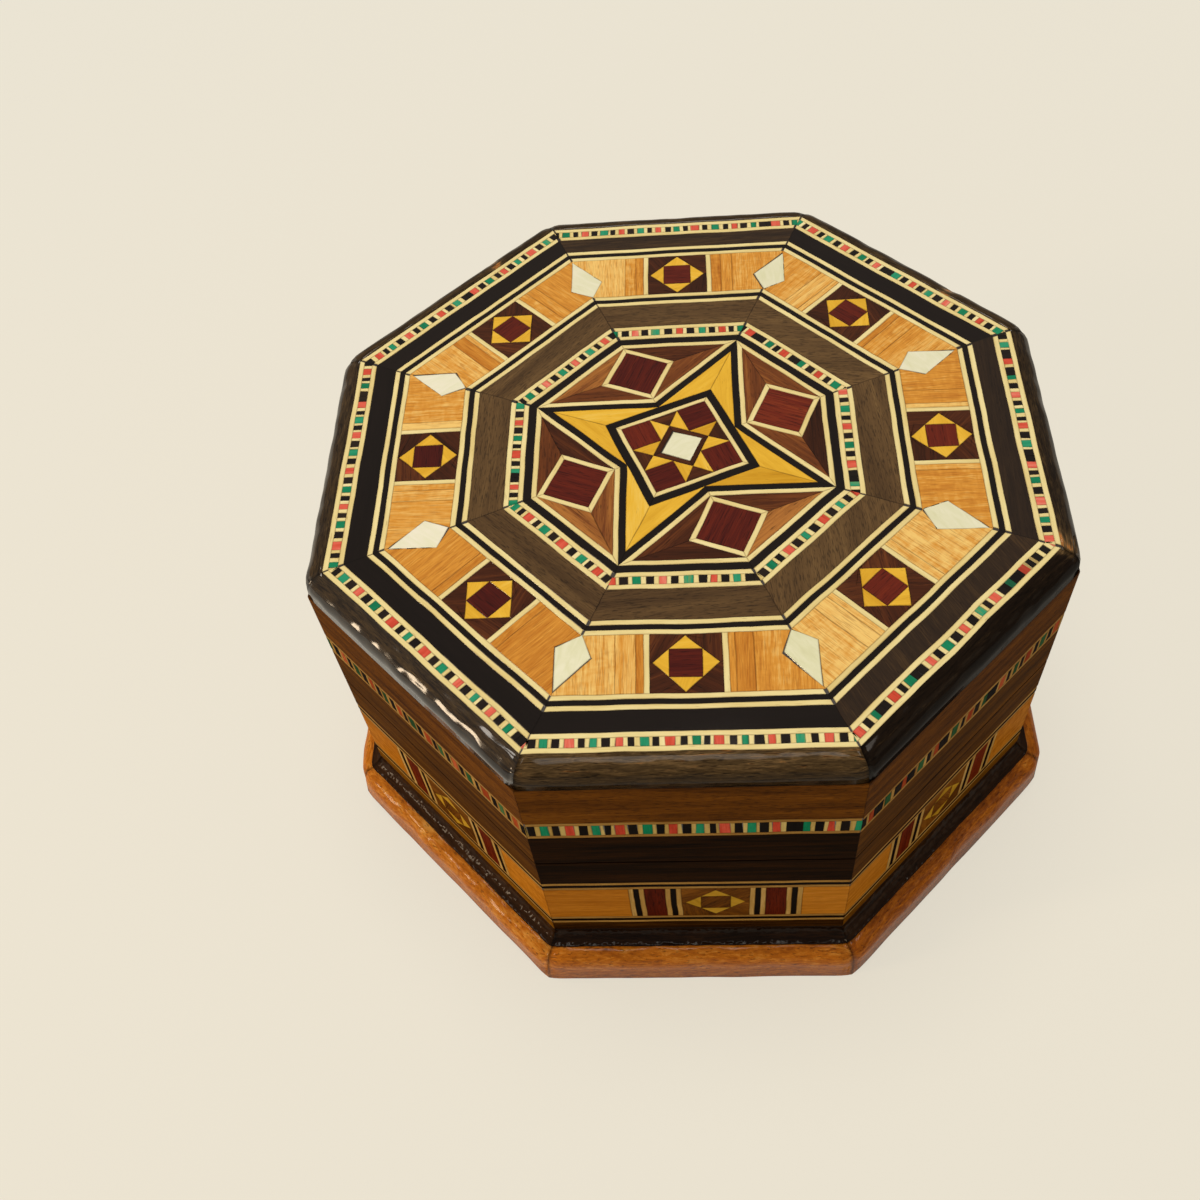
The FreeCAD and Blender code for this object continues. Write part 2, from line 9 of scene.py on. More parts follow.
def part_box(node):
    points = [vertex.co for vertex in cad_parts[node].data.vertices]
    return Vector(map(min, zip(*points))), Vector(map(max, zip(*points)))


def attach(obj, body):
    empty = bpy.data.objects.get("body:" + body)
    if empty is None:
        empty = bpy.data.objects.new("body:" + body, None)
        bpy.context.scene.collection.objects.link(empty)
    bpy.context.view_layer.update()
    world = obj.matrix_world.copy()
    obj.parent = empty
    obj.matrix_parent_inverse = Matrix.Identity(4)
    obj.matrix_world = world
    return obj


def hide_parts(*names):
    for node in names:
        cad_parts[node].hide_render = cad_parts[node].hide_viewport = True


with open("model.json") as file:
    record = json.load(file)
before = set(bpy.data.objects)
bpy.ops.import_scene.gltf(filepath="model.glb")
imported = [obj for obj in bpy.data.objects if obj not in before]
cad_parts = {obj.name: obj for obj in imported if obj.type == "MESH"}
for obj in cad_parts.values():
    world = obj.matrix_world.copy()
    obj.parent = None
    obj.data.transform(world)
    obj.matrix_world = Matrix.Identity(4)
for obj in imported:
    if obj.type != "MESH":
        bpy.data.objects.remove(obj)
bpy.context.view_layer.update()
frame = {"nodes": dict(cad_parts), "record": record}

mm = 0.001
sideCount = 8
sideTurn = 2 * math.pi / sideCount
mitre = math.tan(sideTurn / 2)
frontFacing = -math.pi / 2
axisUp = Vector((0, 0, 1))
facingLimit = 0.9   # a face looks along a direction when their cosine is at least this
bodyOf = {node: body for body, members in frame["record"]["behaviour"]["bodies"].items() for node in members}


def linear(hexColor, alpha=1.0):
    # sRGB hex to the linear colour that the shader takes
    channels = [int(hexColor[place:place + 2], 16) / 255 for place in (1, 3, 5)]
    bent = [c / 12.92 if c <= 0.04045 else ((c + 0.055) / 1.055) ** 2.4 for c in channels]
    return (*bent, alpha)


def addNode(tree, kind, links=None, stops=None, **settings):
    # links gives each input a value or the socket that feeds it, stops are a ramp's (place, hex)
    made = tree.nodes.new(kind)
    for setting, value in settings.items():
        setattr(made, setting, value)
    for key, value in (links or {}).items():
        if isinstance(value, bpy.types.NodeSocket):
            tree.links.new(value, made.inputs[key])
        else:
            made.inputs[key].default_value = value
    if stops:
        ramp = made.color_ramp
        while len(ramp.elements) < len(stops):
            ramp.elements.new(1)
        for element, (place, hexColor) in zip(ramp.elements, stops):
            element.position = place
            element.color = linear(hexColor)
    return made


def addObject(name, data):
    made = bpy.data.objects.new(name, data)
    bpy.context.scene.collection.objects.link(made)
    return made


# Short ways to the nodes that most materials use

def newMaterial(name):
    made = bpy.data.materials.new(name)
    made.use_nodes = True
    made.node_tree.nodes.clear()
    return made, made.node_tree


def stored(tree, name):
    return addNode(tree, "ShaderNodeAttribute", attribute_name=name).outputs["Vector"]


def readCut(tree):
    # What each point of a piece carries: its place in the grain, and tone, figure and cleanness
    split = addNode(tree, "ShaderNodeSeparateXYZ", {"Vector": stored(tree, "cut")})
    return (stored(tree, "grain"), *split.outputs)


def objectPlace(tree):
    return addNode(tree, "ShaderNodeTexCoord").outputs["Object"]


def stretched(tree, place, *sizes):
    # Measures space in a pattern's own length, width and depth
    scale = [1 / size for size in sizes]
    return addNode(tree, "ShaderNodeVectorMath", {0: place, 1: scale}, operation="MULTIPLY").outputs[0]


def noiseField(tree, place, size=1.0, detail=2.0, bend=0.0, roughness=0.5):
    inputs = {"Vector": place, "Scale": 1 / size, "Detail": detail, "Distortion": bend,
              "Roughness": roughness}
    return addNode(tree, "ShaderNodeTexNoise", inputs).outputs["Fac"]


def calculated(tree, operation, *values):
    return addNode(tree, "ShaderNodeMath", dict(enumerate(values)), operation=operation).outputs[0]


def summed(tree, start, *shares):
    # start plus each source times its share
    for source, share in shares:
        start = calculated(tree, "MULTIPLY_ADD", source, share, start)
    return start


def ranged(tree, value, low, high, fromLow=0.0, fromHigh=1.0):
    inputs = {"Value": value, "From Min": fromLow, "From Max": fromHigh, "To Min": low, "To Max": high}
    return addNode(tree, "ShaderNodeMapRange", inputs).outputs[0]


def rampColor(tree, place, stops):
    return addNode(tree, "ShaderNodeValToRGB", {"Fac": place}, stops=stops).outputs["Color"]


def tinted(tree, share, color, hexColor):
    inputs = {0: share, 6: color, 7: linear(hexColor)}
    return addNode(tree, "ShaderNodeMix", inputs, data_type="RGBA").outputs[2]


def bumped(tree, pattern, strength, heightMm):
    inputs = {"Strength": strength, "Distance": heightMm * mm, "Height": pattern}
    return addNode(tree, "ShaderNodeBump", inputs).outputs[0]


def finishMaterial(tree, inputs):
    shader = addNode(tree, "ShaderNodeBsdfPrincipled", inputs).outputs[0]
    addNode(tree, "ShaderNodeOutputMaterial", {"Surface": shader})


# Where things are: the eight sides, and the flat faces that the frame's nodes show

def pairs(loop):
    return zip(loop, loop[1:] + loop[:1])


def middleOf(loop):
    return sum(loop, Vector()) / len(loop)


def boxMm(nodeName):
    return [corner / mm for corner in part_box(nodeName)]


def ofSide(value, side):
    # A style's value is one number for all sides, or a list with one for each
    return value[side] if isinstance(value, list) else value

def sideAxes(side):
    turn = frontFacing + side * sideTurn
    out = Vector((math.cos(turn), math.sin(turn), 0))
    return out, axisUp.cross(out)


def sideOf(point):
    return round((math.atan2(point.y, point.x) - frontFacing) / sideTurn) % sideCount


def outlines(nodeName, looksUp):
    # The outlines of a node's faces that look up, or out from a side, in mm and counter-clockwise
    mesh = frame["nodes"][nodeName].data
    edges = set()
    for face in mesh.polygons:
        out = axisUp if looksUp else sideAxes(sideOf(face.center))[0]
        if face.normal.dot(out) < facingLimit:
            continue
        corners = list(face.vertices)
        for start, stop in pairs(corners):
            if (stop, start) in edges:
                edges.remove((stop, start))
            else:
                edges.add((start, stop))
    following = dict(sorted(edges))
    found = []
    while following:
        start, spot = following.popitem()
        loop = [start]
        while spot != start:
            loop.append(spot)
            spot = following.pop(spot)
        found.append([mesh.vertices[each].co / mm for each in loop])
    found.sort(key=lambda loop: tuple(round(each, 3) for each in middleOf(loop)))
    return found


# Meshes: a build collects points in mm, faces and what the materials read at each point

plainCut = (0.5, 0.5, 1)   # for pieces whose material doesn't read the cut


def newBuild():
    return {"points": [], "faces": [], "paint": [], "grain": [], "cut": [], "smooth": []}


def addPoints(build, points, grain=None, cut=None):
    first = len(build["points"])
    build["points"] += points
    build["grain"] += grain or [each.copy() for each in points]
    build["cut"] += cut or [plainCut] * len(points)
    return list(range(first, first + len(points)))


def addFace(build, corners, paint=0, smooth=False):
    build["faces"].append(corners)
    build["paint"].append(paint)
    build["smooth"].append(smooth)


def addBridge(build, low, high, paint=0, smooth=False):
    for index in range(len(low)):
        addFace(build, [low[index - 1], low[index], high[index], high[index - 1]], paint, smooth)


def finishPiece(name, build, materials, body, stands=()):
    mesh = bpy.data.meshes.new(name)
    mesh.from_pydata([each * mm for each in build["points"]], [], build["faces"])
    for attribute in ("grain", "cut"):
        values = [channel for each in build[attribute] for channel in each]
        mesh.attributes.new(attribute, "FLOAT_VECTOR", "POINT").data.foreach_set("vector", values)
    mesh.polygons.foreach_set("material_index", build["paint"])
    mesh.polygons.foreach_set("use_smooth", build["smooth"])
    for material in materials:
        mesh.materials.append(material)
    mesh.validate()
    mesh.update()
    piece = addObject(name, mesh)
    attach(piece, body)
    if stands:
        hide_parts(*stands)
    return piece


def finishNode(nodeName, ending, build, materials):
    # A piece that stands for one node, on that node's body and slot
    return finishPiece(nodeName + ending, build, materials, bodyOf[nodeName], [nodeName])


# Hand work: saw lines wander a little, the same way for neighbours that share an edge

handWork = {   # mm, apart from the shares, and degrees for grainStray
    "wander": 0.14, "wanderLength": 7.0, "fineRate": 3.1, "fineShare": 0.35, "cornerRoom": 3, "step": 1.6,
    "chamfer": 0.03, "stain": 0.2, "mitreReach": 0.05, "grainStray": 2, "seedShift": (91.7, 57.3, 33.1),
    "noiseSeed": 8,
}
noise.seed_set(handWork["noiseSeed"])   # unseeded, the vector noise would change with the clock


def wander(point):
    place, reach = point / handWork["wanderLength"], handWork["wander"]
    fine = noise.noise_vector(place * handWork["fineRate"]) * reach * handWork["fineShare"]
    return noise.noise_vector(place) * reach + fine


def moved(point, out, looksUp):
    drift = wander(point)
    if looksUp:
        return point + Vector((drift.x, drift.y, 0))
    # On a side only the height wanders at the corners, so that neighbours still meet there
    along = axisUp.cross(out)
    room = point.dot(out) * mitre - abs(point.dot(along))
    return point + axisUp * drift.z + along * drift.x * min(1, max(0, room / handWork["cornerRoom"]))


def divided(loop, step):
    points = []
    for start, stop in pairs(loop):
        count = max(1, math.ceil((stop - start).length / step))
        points += [start.lerp(stop, share / count) for share in range(count)]
    return points


def inset(loop, facing, distance, reach=2.5):
    points = []
    for index, point in enumerate(loop):
        before = (point - loop[index - 1]).normalized()
        after = (loop[(index + 1) % len(loop)] - point).normalized()
        across = facing.cross(before) + facing.cross(after)
        if across.length < 1e-6:
            across = facing.cross(after)
        across.normalize()
        points.append(point + across * distance * min(reach, 1 / max(0.01, across.dot(facing.cross(after)))))
    return points


def clipped(loop, normal, limit):
    # The part of a loop where point . normal is at most the limit
    kept = []
    for index, point in enumerate(loop):
        last = loop[index - 1]
        here, there = point.dot(normal) - limit, last.dot(normal) - limit
        if here * there < 0:
            kept.append(last.lerp(point, there / (there - here)))
        if here <= 0:
            kept.append(point)
    return kept


def layVeneer(build, loop, facing, thickness, grainAxis, tone, figure, seed, paint=0, clean=1.0):
    # One piece of veneer: its edges wander, its top is eased and its rim takes the stain of the glue
    looksUp = facing.z > 0.5
    path = [moved(each, facing, looksUp) for each in divided(loop, handWork["step"])]
    sunk = facing * handWork["chamfer"]
    rings = [
        ([each - facing * thickness for each in path], 0),
        ([each - sunk for each in path], 0),
        (inset(path, facing, handWork["chamfer"]), 0),
        (inset(path, facing, handWork["stain"]), clean),
    ]
    across = facing.cross(grainAxis)
    shift = Vector([seed * each for each in handWork["seedShift"]])
    numbers = []
    for points, edge in rings:
        grain = [Vector((each.dot(grainAxis), each.dot(across), each.dot(facing))) + shift for each in points]
        numbers.append(addPoints(build, points, grain, [(tone, figure, edge)] * len(points)))
    for low, high in zip(numbers, numbers[1:]):
        addBridge(build, low, high, paint)
    addFace(build, numbers[-1], paint)
    addFace(build, numbers[0][::-1], paint)


def turnedAxis(axis, facing, degrees):
    return Matrix.Rotation(math.radians(degrees), 3, facing) @ axis


def longestEdge(loop):
    edges = [stop - start for start, stop in pairs(loop)]
    return max(edges, key=lambda edge: edge.length).normalized()


def shortened(loop, out, along, gaps):
    # Draws the mitred ends of a line back by a small gap each
    points = []
    for point in loop:
        reach, place = point.dot(out) * mitre, point.dot(along)
        if reach - abs(place) < handWork["mitreReach"]:
            point = point - along * math.copysign(gaps[place > 0], place)
        points.append(point)
    return points


# Wood under gloss lacquer. Every veneer is sawn and planed, glued down, then flooded with lacquer:
# the eye gets long grain with short dark pores, stained glue lines and a wet, slightly wavy shine.

# weight of the coat, or of a dull and of a glossy piece, its roughness and IOR, mm of a wave and its height
lacquer = {
    "top": (1.0, 0.07, 1.38, 5.0, 0.006),
    "worn": ((0.05, 0.9), 0.12, 1.55, 3.0, 0.26),
    "plinth": (0.33, 0.15, 1.45, 1.2, 0.05),
    "pooled": (0.19, 0.14, 1.5, 0.7, 0.13),
    "side": (0.035, 0.22, 1.38, 4.0, 0.006),
}
grainWork = {"noiseRough": 0.6, "flameRange": (0.3, 0.7), "poreSoft": 0.1, "rimBreak": 0.9,
             "stainRange": (0.25, 1.05), "roughSpread": 0.1, "fibreBump": (0.35, 0.02)}


def veneerWood(look):
    made, tree = newMaterial(look["name"])
    grain, tone, figure, edge = readCut(tree)
    patterns = {}
    for pattern, (lengthMm, widthMm, detail, bend) in look["patterns"].items():
        spaced = stretched(tree, grain, lengthMm, widthMm, widthMm)
        patterns[pattern] = noiseField(tree, spaced, 1.0, detail, bend, grainWork["noiseRough"])
    streaks, fibres = patterns["streaks"], patterns["fibres"]
    # Tone of the piece, broad streaks and fine fibres choose the place on the ramp
    start, toneShare, streakShare, fibreShare = look["place"]
    place = summed(tree, start, (tone, toneShare), (streaks, streakShare), (fibres, fibreShare))
    if "flame" in patterns:
        # Figure: bands across the grain that shimmer more in some pieces than in others
        reach = look["flameShare"]
        flame = ranged(tree, patterns["flame"], -reach, reach, *grainWork["flameRange"])
        place = summed(tree, place, (flame, figure))
    color = rampColor(tree, place, look["ramp"])
    poreStart, poreDepth, poreColor = look["pore"]
    pores = ranged(tree, patterns["pores"], 0, poreDepth, poreStart, poreStart + grainWork["poreSoft"])
    color = tinted(tree, pores, color, poreColor)
    # Glue and dirt along the rim of each piece, broken up by the streaks
    stain, stainColor = look["stain"]
    rim = summed(tree, edge, (streaks, grainWork["rimBreak"]))
    color = tinted(tree, ranged(tree, rim, stain, 0, *grainWork["stainRange"]), color, stainColor)
    rough, spread = look["rough"], grainWork["roughSpread"]
    weight, coatRough, coatIor, waveMm, waveHeight = lacquer[look["lacquer"]]
    if isinstance(weight, tuple):
        weight = ranged(tree, figure, *weight)
    waves = noiseField(tree, grain, waveMm, 0.0)
    finishMaterial(tree, {
        "Base Color": color, "Roughness": ranged(tree, fibres, rough - spread, rough + spread),
        "Normal": bumped(tree, fibres, *grainWork["fibreBump"]), "Specular IOR Level": 0,
        "Coat Weight": weight, "Coat Roughness": coatRough, "Coat IOR": coatIor,
        "Coat Normal": bumped(tree, waves, 1.0, waveHeight)})
    return made


# place is start, toneShare, streakShare and fibreShare: where on the ramp the wood lies is
# start + tone * toneShare + streaks * streakShare + fibres * fibreShare.
# patterns: length and width in mm, detail, bend. pore: start, depth, colour. stain: strength, colour.
plainWood = {"lacquer": "top", "rough": 0.4}
woods = {
    "walnut": {   # grey-brown walnut, straight grain with dark pores
        "name": "walnutVeneer",
        "ramp": [(0, "#281c11"), (0.4, "#4c3822"), (0.72, "#664e30"), (1, "#866a42")],
        "place": (-0.28, 0.45, 0.75, 0.5),
        "patterns": {"streaks": (26, 1.9, 3, 0.5), "fibres": (4, 0.16, 3, 0), "pores": (1.3, 0.13, 1, 0)},
        "pore": (0.55, 0.6, "#1a120b"), "rough": 0.45, "stain": (0.6, "#120c08")},
    "richWalnut": {   # red-brown walnut with black streaks, round the tiles and in the petals
        "name": "richWalnutVeneer",
        "ramp": [(0, "#1e0e06"), (0.35, "#4a2411"), (0.65, "#77421e"), (1, "#b87a3a")],
        "place": (-0.3, 0.6, 0.8, 0.4),
        "patterns": {"streaks": (30, 1.8, 4, 0.9), "fibres": (6, 0.2, 2, 0), "pores": (1.8, 0.16, 1, 0)},
        "pore": (0.6, 0.6, "#140904"), "rough": 0.42, "stain": (0.65, "#100804")},
    "ebonised": {   # pear dyed black, with brown grain where the dye is thin
        "name": "ebonisedPearVeneer",
        "ramp": [(0, "#110c0a"), (0.5, "#1c1512"), (0.8, "#33261b"), (1, "#554027")],
        "place": (-0.2, 0.75, 0.45, 0.4),
        "patterns": {"streaks": (18, 1.4, 3, 0.4), "fibres": (3, 0.17, 2, 0), "pores": (1.2, 0.14, 1, 0)},
        "pore": (0.64, 0.5, "#0d0907"), "stain": (0.5, "#0b0807")},
    "cream": {   # ivory-yellow boxwood stringing, fine and even
        "name": "boxwoodStringing",
        "ramp": [(0, "#bd9a50"), (0.35, "#e0cb84"), (0.7, "#f2e5a8"), (1, "#faf2c8")],
        "place": (-0.05, 0.3, 0.65, 0.3),
        "patterns": {"streaks": (9, 1.2, 3, 0.3), "fibres": (3, 0.2, 2, 0), "pores": (2.0, 0.25, 1, 0)},
        "pore": (0.68, 0.35, "#8f6a30"), "stain": (0.55, "#6d4a20")},
    "yellow": {   # barberry dyed golden yellow
        "name": "goldenBarberryVeneer",
        "ramp": [(0, "#94600f"), (0.35, "#cf9a22"), (0.7, "#ecbd3c"), (1, "#f8dc78")],
        "place": (-0.05, 0.5, 0.55, 0.25),
        "patterns": {"streaks": (8, 1.1, 3, 0.5), "fibres": (3, 0.18, 2, 0), "pores": (1.5, 0.2, 1, 0)},
        "pore": (0.68, 0.4, "#8a5a14"), "stain": (0.6, "#4a2c0c")},
    "red": {   # rosewood, dark red with straight darker lines
        "name": "rosewoodVeneer",
        "ramp": [(0, "#220707"), (0.4, "#4a140f"), (0.72, "#6c2414"), (1, "#944220")],
        "place": (-0.12, 0.55, 0.5, 0.4),
        "patterns": {"streaks": (16, 0.8, 3, 0.2), "fibres": (5, 0.18, 2, 0), "pores": (2.6, 0.16, 1, 0)},
        "pore": (0.58, 0.65, "#1b0606"), "stain": (0.6, "#140606")},
    "light": {   # golden orange lemonwood with a satin shimmer across its fine grain
        "name": "lemonwoodVeneer", "flameShare": 0.12,
        "ramp": [(0, "#884712"), (0.33, "#bf7826"), (0.66, "#de9c3e"), (1, "#f6d07c")],
        "place": (-0.3, 0.6, 0.75, 0.6),
        "patterns": {"streaks": (14, 0.8, 4, 0.5), "fibres": (2.6, 0.22, 3, 0.3), "pores": (2.6, 0.17, 1, 0),
                     "flame": (0.9, 2.0, 1, 0.5)},
        "pore": (0.55, 0.36, "#94551a"), "rough": 0.36, "stain": (0.55, "#4a260b")},
    "blackRod": {   # black dyed rods, brownish where worn
        "name": "blackDyedRods",
        "ramp": [(0, "#100c0a"), (0.5, "#1c1613"), (0.85, "#2d221a"), (1, "#4a3823")],
        "place": (-0.15, 0.55, 0.35, 0.3),
        "patterns": {"streaks": (3, 0.5, 2, 0), "fibres": (2, 0.15, 2, 0), "pores": (1.2, 0.15, 1, 0)},
        "pore": (0.75, 0.3, "#0a0706"), "stain": (0.3, "#0a0706")},
    "redRod": {   # coral red dyed rods, paler along the heart
        "name": "coralDyedRods",
        "ramp": [(0, "#a8321f"), (0.4, "#d5503b"), (0.7, "#e66d5a"), (1, "#f2a893")],
        "place": (-0.15, 0.45, 0.65, 0.3),
        "patterns": {"streaks": (4, 0.55, 2, 0), "fibres": (2, 0.15, 2, 0), "pores": (1.2, 0.15, 1, 0)},
        "pore": (0.7, 0.3, "#7c2018"), "stain": (0.4, "#5c2416")},
    "greenRod": {   # emerald dyed rods, some turned olive
        "name": "emeraldDyedRods",
        "ramp": [(0, "#0a5a3f"), (0.45, "#12875f"), (0.75, "#2f9e78"), (1, "#8a9a4e")],
        "place": (-0.15, 0.5, 0.55, 0.3),
        "patterns": {"streaks": (4, 0.55, 2, 0), "fibres": (2, 0.15, 2, 0), "pores": (1.2, 0.15, 1, 0)},
        "pore": (0.7, 0.3, "#0a3f2e"), "stain": (0.4, "#1c3a22")},
    "border": {   # dark walnut border, nearly black where the stain took, grey-brown where it is worn
        "name": "darkWalnutBorder", "lacquer": "worn",
        "ramp": [(0, "#0c0806"), (0.4, "#1f160e"), (0.7, "#483822"), (0.88, "#6a5436"), (1, "#a8703a")],
        "place": (-0.5, 0.8, 0.85, 0.7),
        "patterns": {"streaks": (6, 0.7, 5, 1.0), "fibres": (1.8, 0.2, 3, 0.3), "pores": (1.8, 0.2, 1, 0)},
        "pore": (0.55, 0.75, "#0b0705"), "stain": (0.7, "#0a0705")},
    "cove": {   # black-brown cove, with specks of light where lacquer pooled in the hollow
        "name": "smokedBeechCove", "lacquer": "pooled",
        "ramp": [(0, "#0c0704"), (0.4, "#1d110a"), (0.7, "#3a2412"), (1, "#5c3c1e")],
        "place": (-0.22, 0.6, 0.6, 0.45),
        "patterns": {"streaks": (7, 0.8, 4, 0.8), "fibres": (2.0, 0.2, 2, 0), "pores": (1.4, 0.16, 1, 0)},
        "pore": (0.6, 0.5, "#090503"), "rough": 0.5, "stain": (0.6, "#080503")},
    "plinth": {   # orange-brown stained beech, mottled, darker where the stain pooled
        "name": "stainedBeechMoulding", "lacquer": "plinth",
        "ramp": [(0, "#401e08"), (0.4, "#98500d"), (0.72, "#c8761b"), (1, "#e6a346")],
        "place": (-0.42, 0.45, 1.0, 0.65),
        "patterns": {"streaks": (5, 1.6, 5, 1.6), "fibres": (1.0, 0.35, 3, 0.6), "pores": (0.9, 0.3, 2, 0.4)},
        "pore": (0.58, 0.65, "#4a2208"), "stain": (0.8, "#1c0d05")},
}
# The sides carry the same woods under a thinner, duller coat, in warmer and darker copies: partly aged wood,
# partly painted shade of the upright sides
sideRamps = {
    "walnut": [(0, "#180b03"), (0.4, "#44250a"), (0.72, "#784812"), (1, "#9c6422")],
    "richWalnut": [(0, "#100803"), (0.35, "#331c06"), (0.7, "#6b420c"), (1, "#986414")],
    "ebonised": [(0, "#0d0805"), (0.5, "#191009"), (0.8, "#332010"), (1, "#523519")],
    "cream": [(0, "#6e4a1e"), (0.35, "#9c743a"), (0.7, "#c09a55"), (1, "#e2c488")],
    "yellow": [(0, "#7d5a12"), (0.35, "#b58a22"), (0.7, "#d0a63a"), (1, "#e2c060")],
    "red": [(0, "#2c0a05"), (0.4, "#5c1c09"), (0.72, "#80310f"), (1, "#9c4c20")],
    "light": [(0, "#7c430c"), (0.33, "#b06c18"), (0.66, "#cc8628"), (1, "#e4ac54")],
    "blackRod": [(0, "#0e0906"), (0.5, "#1c120b"), (0.85, "#332315"), (1, "#4a3823")],
    "redRod": [(0, "#7a2a10"), (0.4, "#a8461e"), (0.7, "#c0603a"), (1, "#d08a60")],
    "greenRod": [(0, "#16381c"), (0.45, "#2c5c36"), (0.75, "#4c7648"), (1, "#7f8040")],
}
for key, ramp in sideRamps.items():
    woods[key + "Side"] = {**woods[key], "name": woods[key]["name"] + "Side", "lacquer": "side", "ramp": ramp}
woods["creamSide"]["stain"] = (0.9, woods["cream"]["stain"][1])
# The front strip has kept its colours under the same thin coat
for key in ("blackRod", "cream", "redRod", "greenRod"):
    woods[key + "Fresh"] = {**woods[key], "name": woods[key]["name"] + "Fresh", "lacquer": "side"}
woods["creamFresh"]["ramp"] = [(0, "#94702f"), (0.35, "#c0a25a"), (0.7, "#d8c27c"), (1, "#ecdca2")]
wood = {key: veneerWood({**plainWood, **look}) for key, look in woods.items()}
print("materials:", len(wood), "veneers")


# The veneers: each node's faces are cut again by hand, one piece of wood each

veneers = {
    "top_dark_band": {"wood": "ebonised", "grain": "along", "spread": 0.1,
                      "turns": [0, 72, 0, 0, 0, 0, 0, 0],
                      "tones": [0.05, 0.75, 0.6, 0.2, 0.75, 0.25, 0.05, 0.05]},
    "top_walnut_band": {"wood": "walnut", "grain": "along", "spread": 0.15,
                        "turns": [4, 48, 5, 40, 0, 3, -4, 2],
                        "tones": [0.45, 0.6, 0.5, 0.65, 0.7, 0.5, 0.5, 0.4]},
    "top_cream_lines": {"wood": "cream", "grain": "along", "gap": (0.03, 0.35)},
    "top_divider_lines": {"wood": "cream", "grain": "longest"},
    "top_black_lines": {"wood": "ebonised", "grain": "along", "tones": 0.05, "spread": 0.2},
    "top_light_panels": {"wood": "light", "grain": "radial", "planks": True, "spread": 0.8,
                         "tones": [0.4, 0.8, 0.6, 0.45, 0.45, 0.35, 0.75, 0.5]},
    "top_tile_points": {"wood": "yellow", "grain": "free"},
    "top_tile_grounds": {"wood": "richWalnut", "grain": "free", "tones": 0.02, "spread": 0.35},
    "top_tile_hearts": {"wood": "red", "grain": "along", "tones": [0.1, 0.55, 0.6, 0.5, 0.5, 0.6, 0.1, 0.25]},
    "star_cream_lines": {"wood": "cream", "grain": "longest"},
    "star_black_lines": {"wood": "ebonised", "grain": "longest", "tones": 0.05, "spread": 0.2},
    "star_points": {"wood": "yellow", "grain": "longest", "spread": 0.8},
    "star_hearts": {"wood": "red", "grain": "longest", "spread": 0.8},
    "star_grounds": {"wood": "richWalnut", "grain": "longest", "tones": 0.0, "spread": 0.3},
    "petal_grounds": {"wood": "richWalnut", "grain": "longest", "tones": 0.5, "spread": 1.1},
    # The front's low first tone is painted shade: the front faces away from the key light
    "body_dark_bands": {"wood": "richWalnutSide", "grain": "along", "spread": 0.1, "foot": (14.0, 0.4),
                        "tones": [-0.3, 0.35, 0.35, 0.3, 0.3, 0.3, 0.35, 0.4]},
    "body_cream_lines": {"wood": "creamSide", "grain": "longest", "tones": 0.1, "uprightTone": 0.7,
                         "gap": (0.0, 0.15)},
    "body_black_lines": {"wood": "ebonisedSide", "grain": "longest", "tones": 0.05},
    "body_light_panels": {"wood": "lightSide", "grain": "along", "tones": 0.2, "spread": 0.3},
    # The front's lower first tone is painted shade of the front side
    "body_red_panels": {"wood": "redSide", "grain": "upright",
                        "tones": [-0.1, 0.3, 0.3, 0.3, 0.3, 0.3, 0.3, 0.35]},
    "body_tile_grounds": {"wood": "walnutSide", "grain": "free", "tones": 0.7, "spread": 0.5},
    "body_tile_points": {"wood": "yellowSide", "grain": "free", "tones": 0.2},
    # The front's low first tone is painted shade: the front faces away from the key light
    "lid_dark_bands": {"wood": "richWalnutSide", "grain": "along", "spread": 0.1,
                       "tones": [-0.3, 0.35, 0.35, 0.3, 0.3, 0.3, 0.35, 0.35]},
    "lid_cream_lines": {"wood": "creamSide", "grain": "along", "tones": 0.15, "gap": (0.0, 0.2)},
    "lid_walnut_bands": {"wood": "walnutSide", "grain": "along", "spread": 0.2,
                         "tones": [0.6, 0.5, 0.5, 0.5, 0.5, 0.5, 0.5, 0.5]},
}
plainVeneer = {"turns": 0, "tones": 0.5, "spread": 0.4, "uprightTone": 0, "foot": (0, 0), "gap": None,
               "planks": False}
# seams of a light panel, as shares from its divider to the kite's shoulder, and how many there are
plank = {"places": (0.16, 0.5), "stray": 0.08, "counts": (1, 2, 2)}


def veneerThickness(nodeName, looksUp):
    if looksUp:
        return (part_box(nodeName)[1].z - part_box("lid_board")[1].z) / mm
    return (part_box("lid_dark_bands")[1].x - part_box("lid_wall_right")[1].x) / mm


def plankLoops(loop, along, draw):
    # A light panel is joined from two or three planks between its divider and the corner
    places = [each.dot(along) for each in loop]
    hand = math.copysign(1, sum(places))
    start = min(abs(each) for each in places)
    end = sorted(abs(each) for each in places)[2]
    stray = plank["stray"]
    seams = [start + (end - start) * (share + draw.uniform(-stray, stray)) for share in plank["places"]]
    seams = seams[:draw.choice(plank["counts"])]
    pieces, rest = [], loop
    for seam in seams:
        pieces.append(clipped(rest, along * hand, seam))
        rest = clipped(rest, -along * hand, -seam)
    return [*pieces, rest]


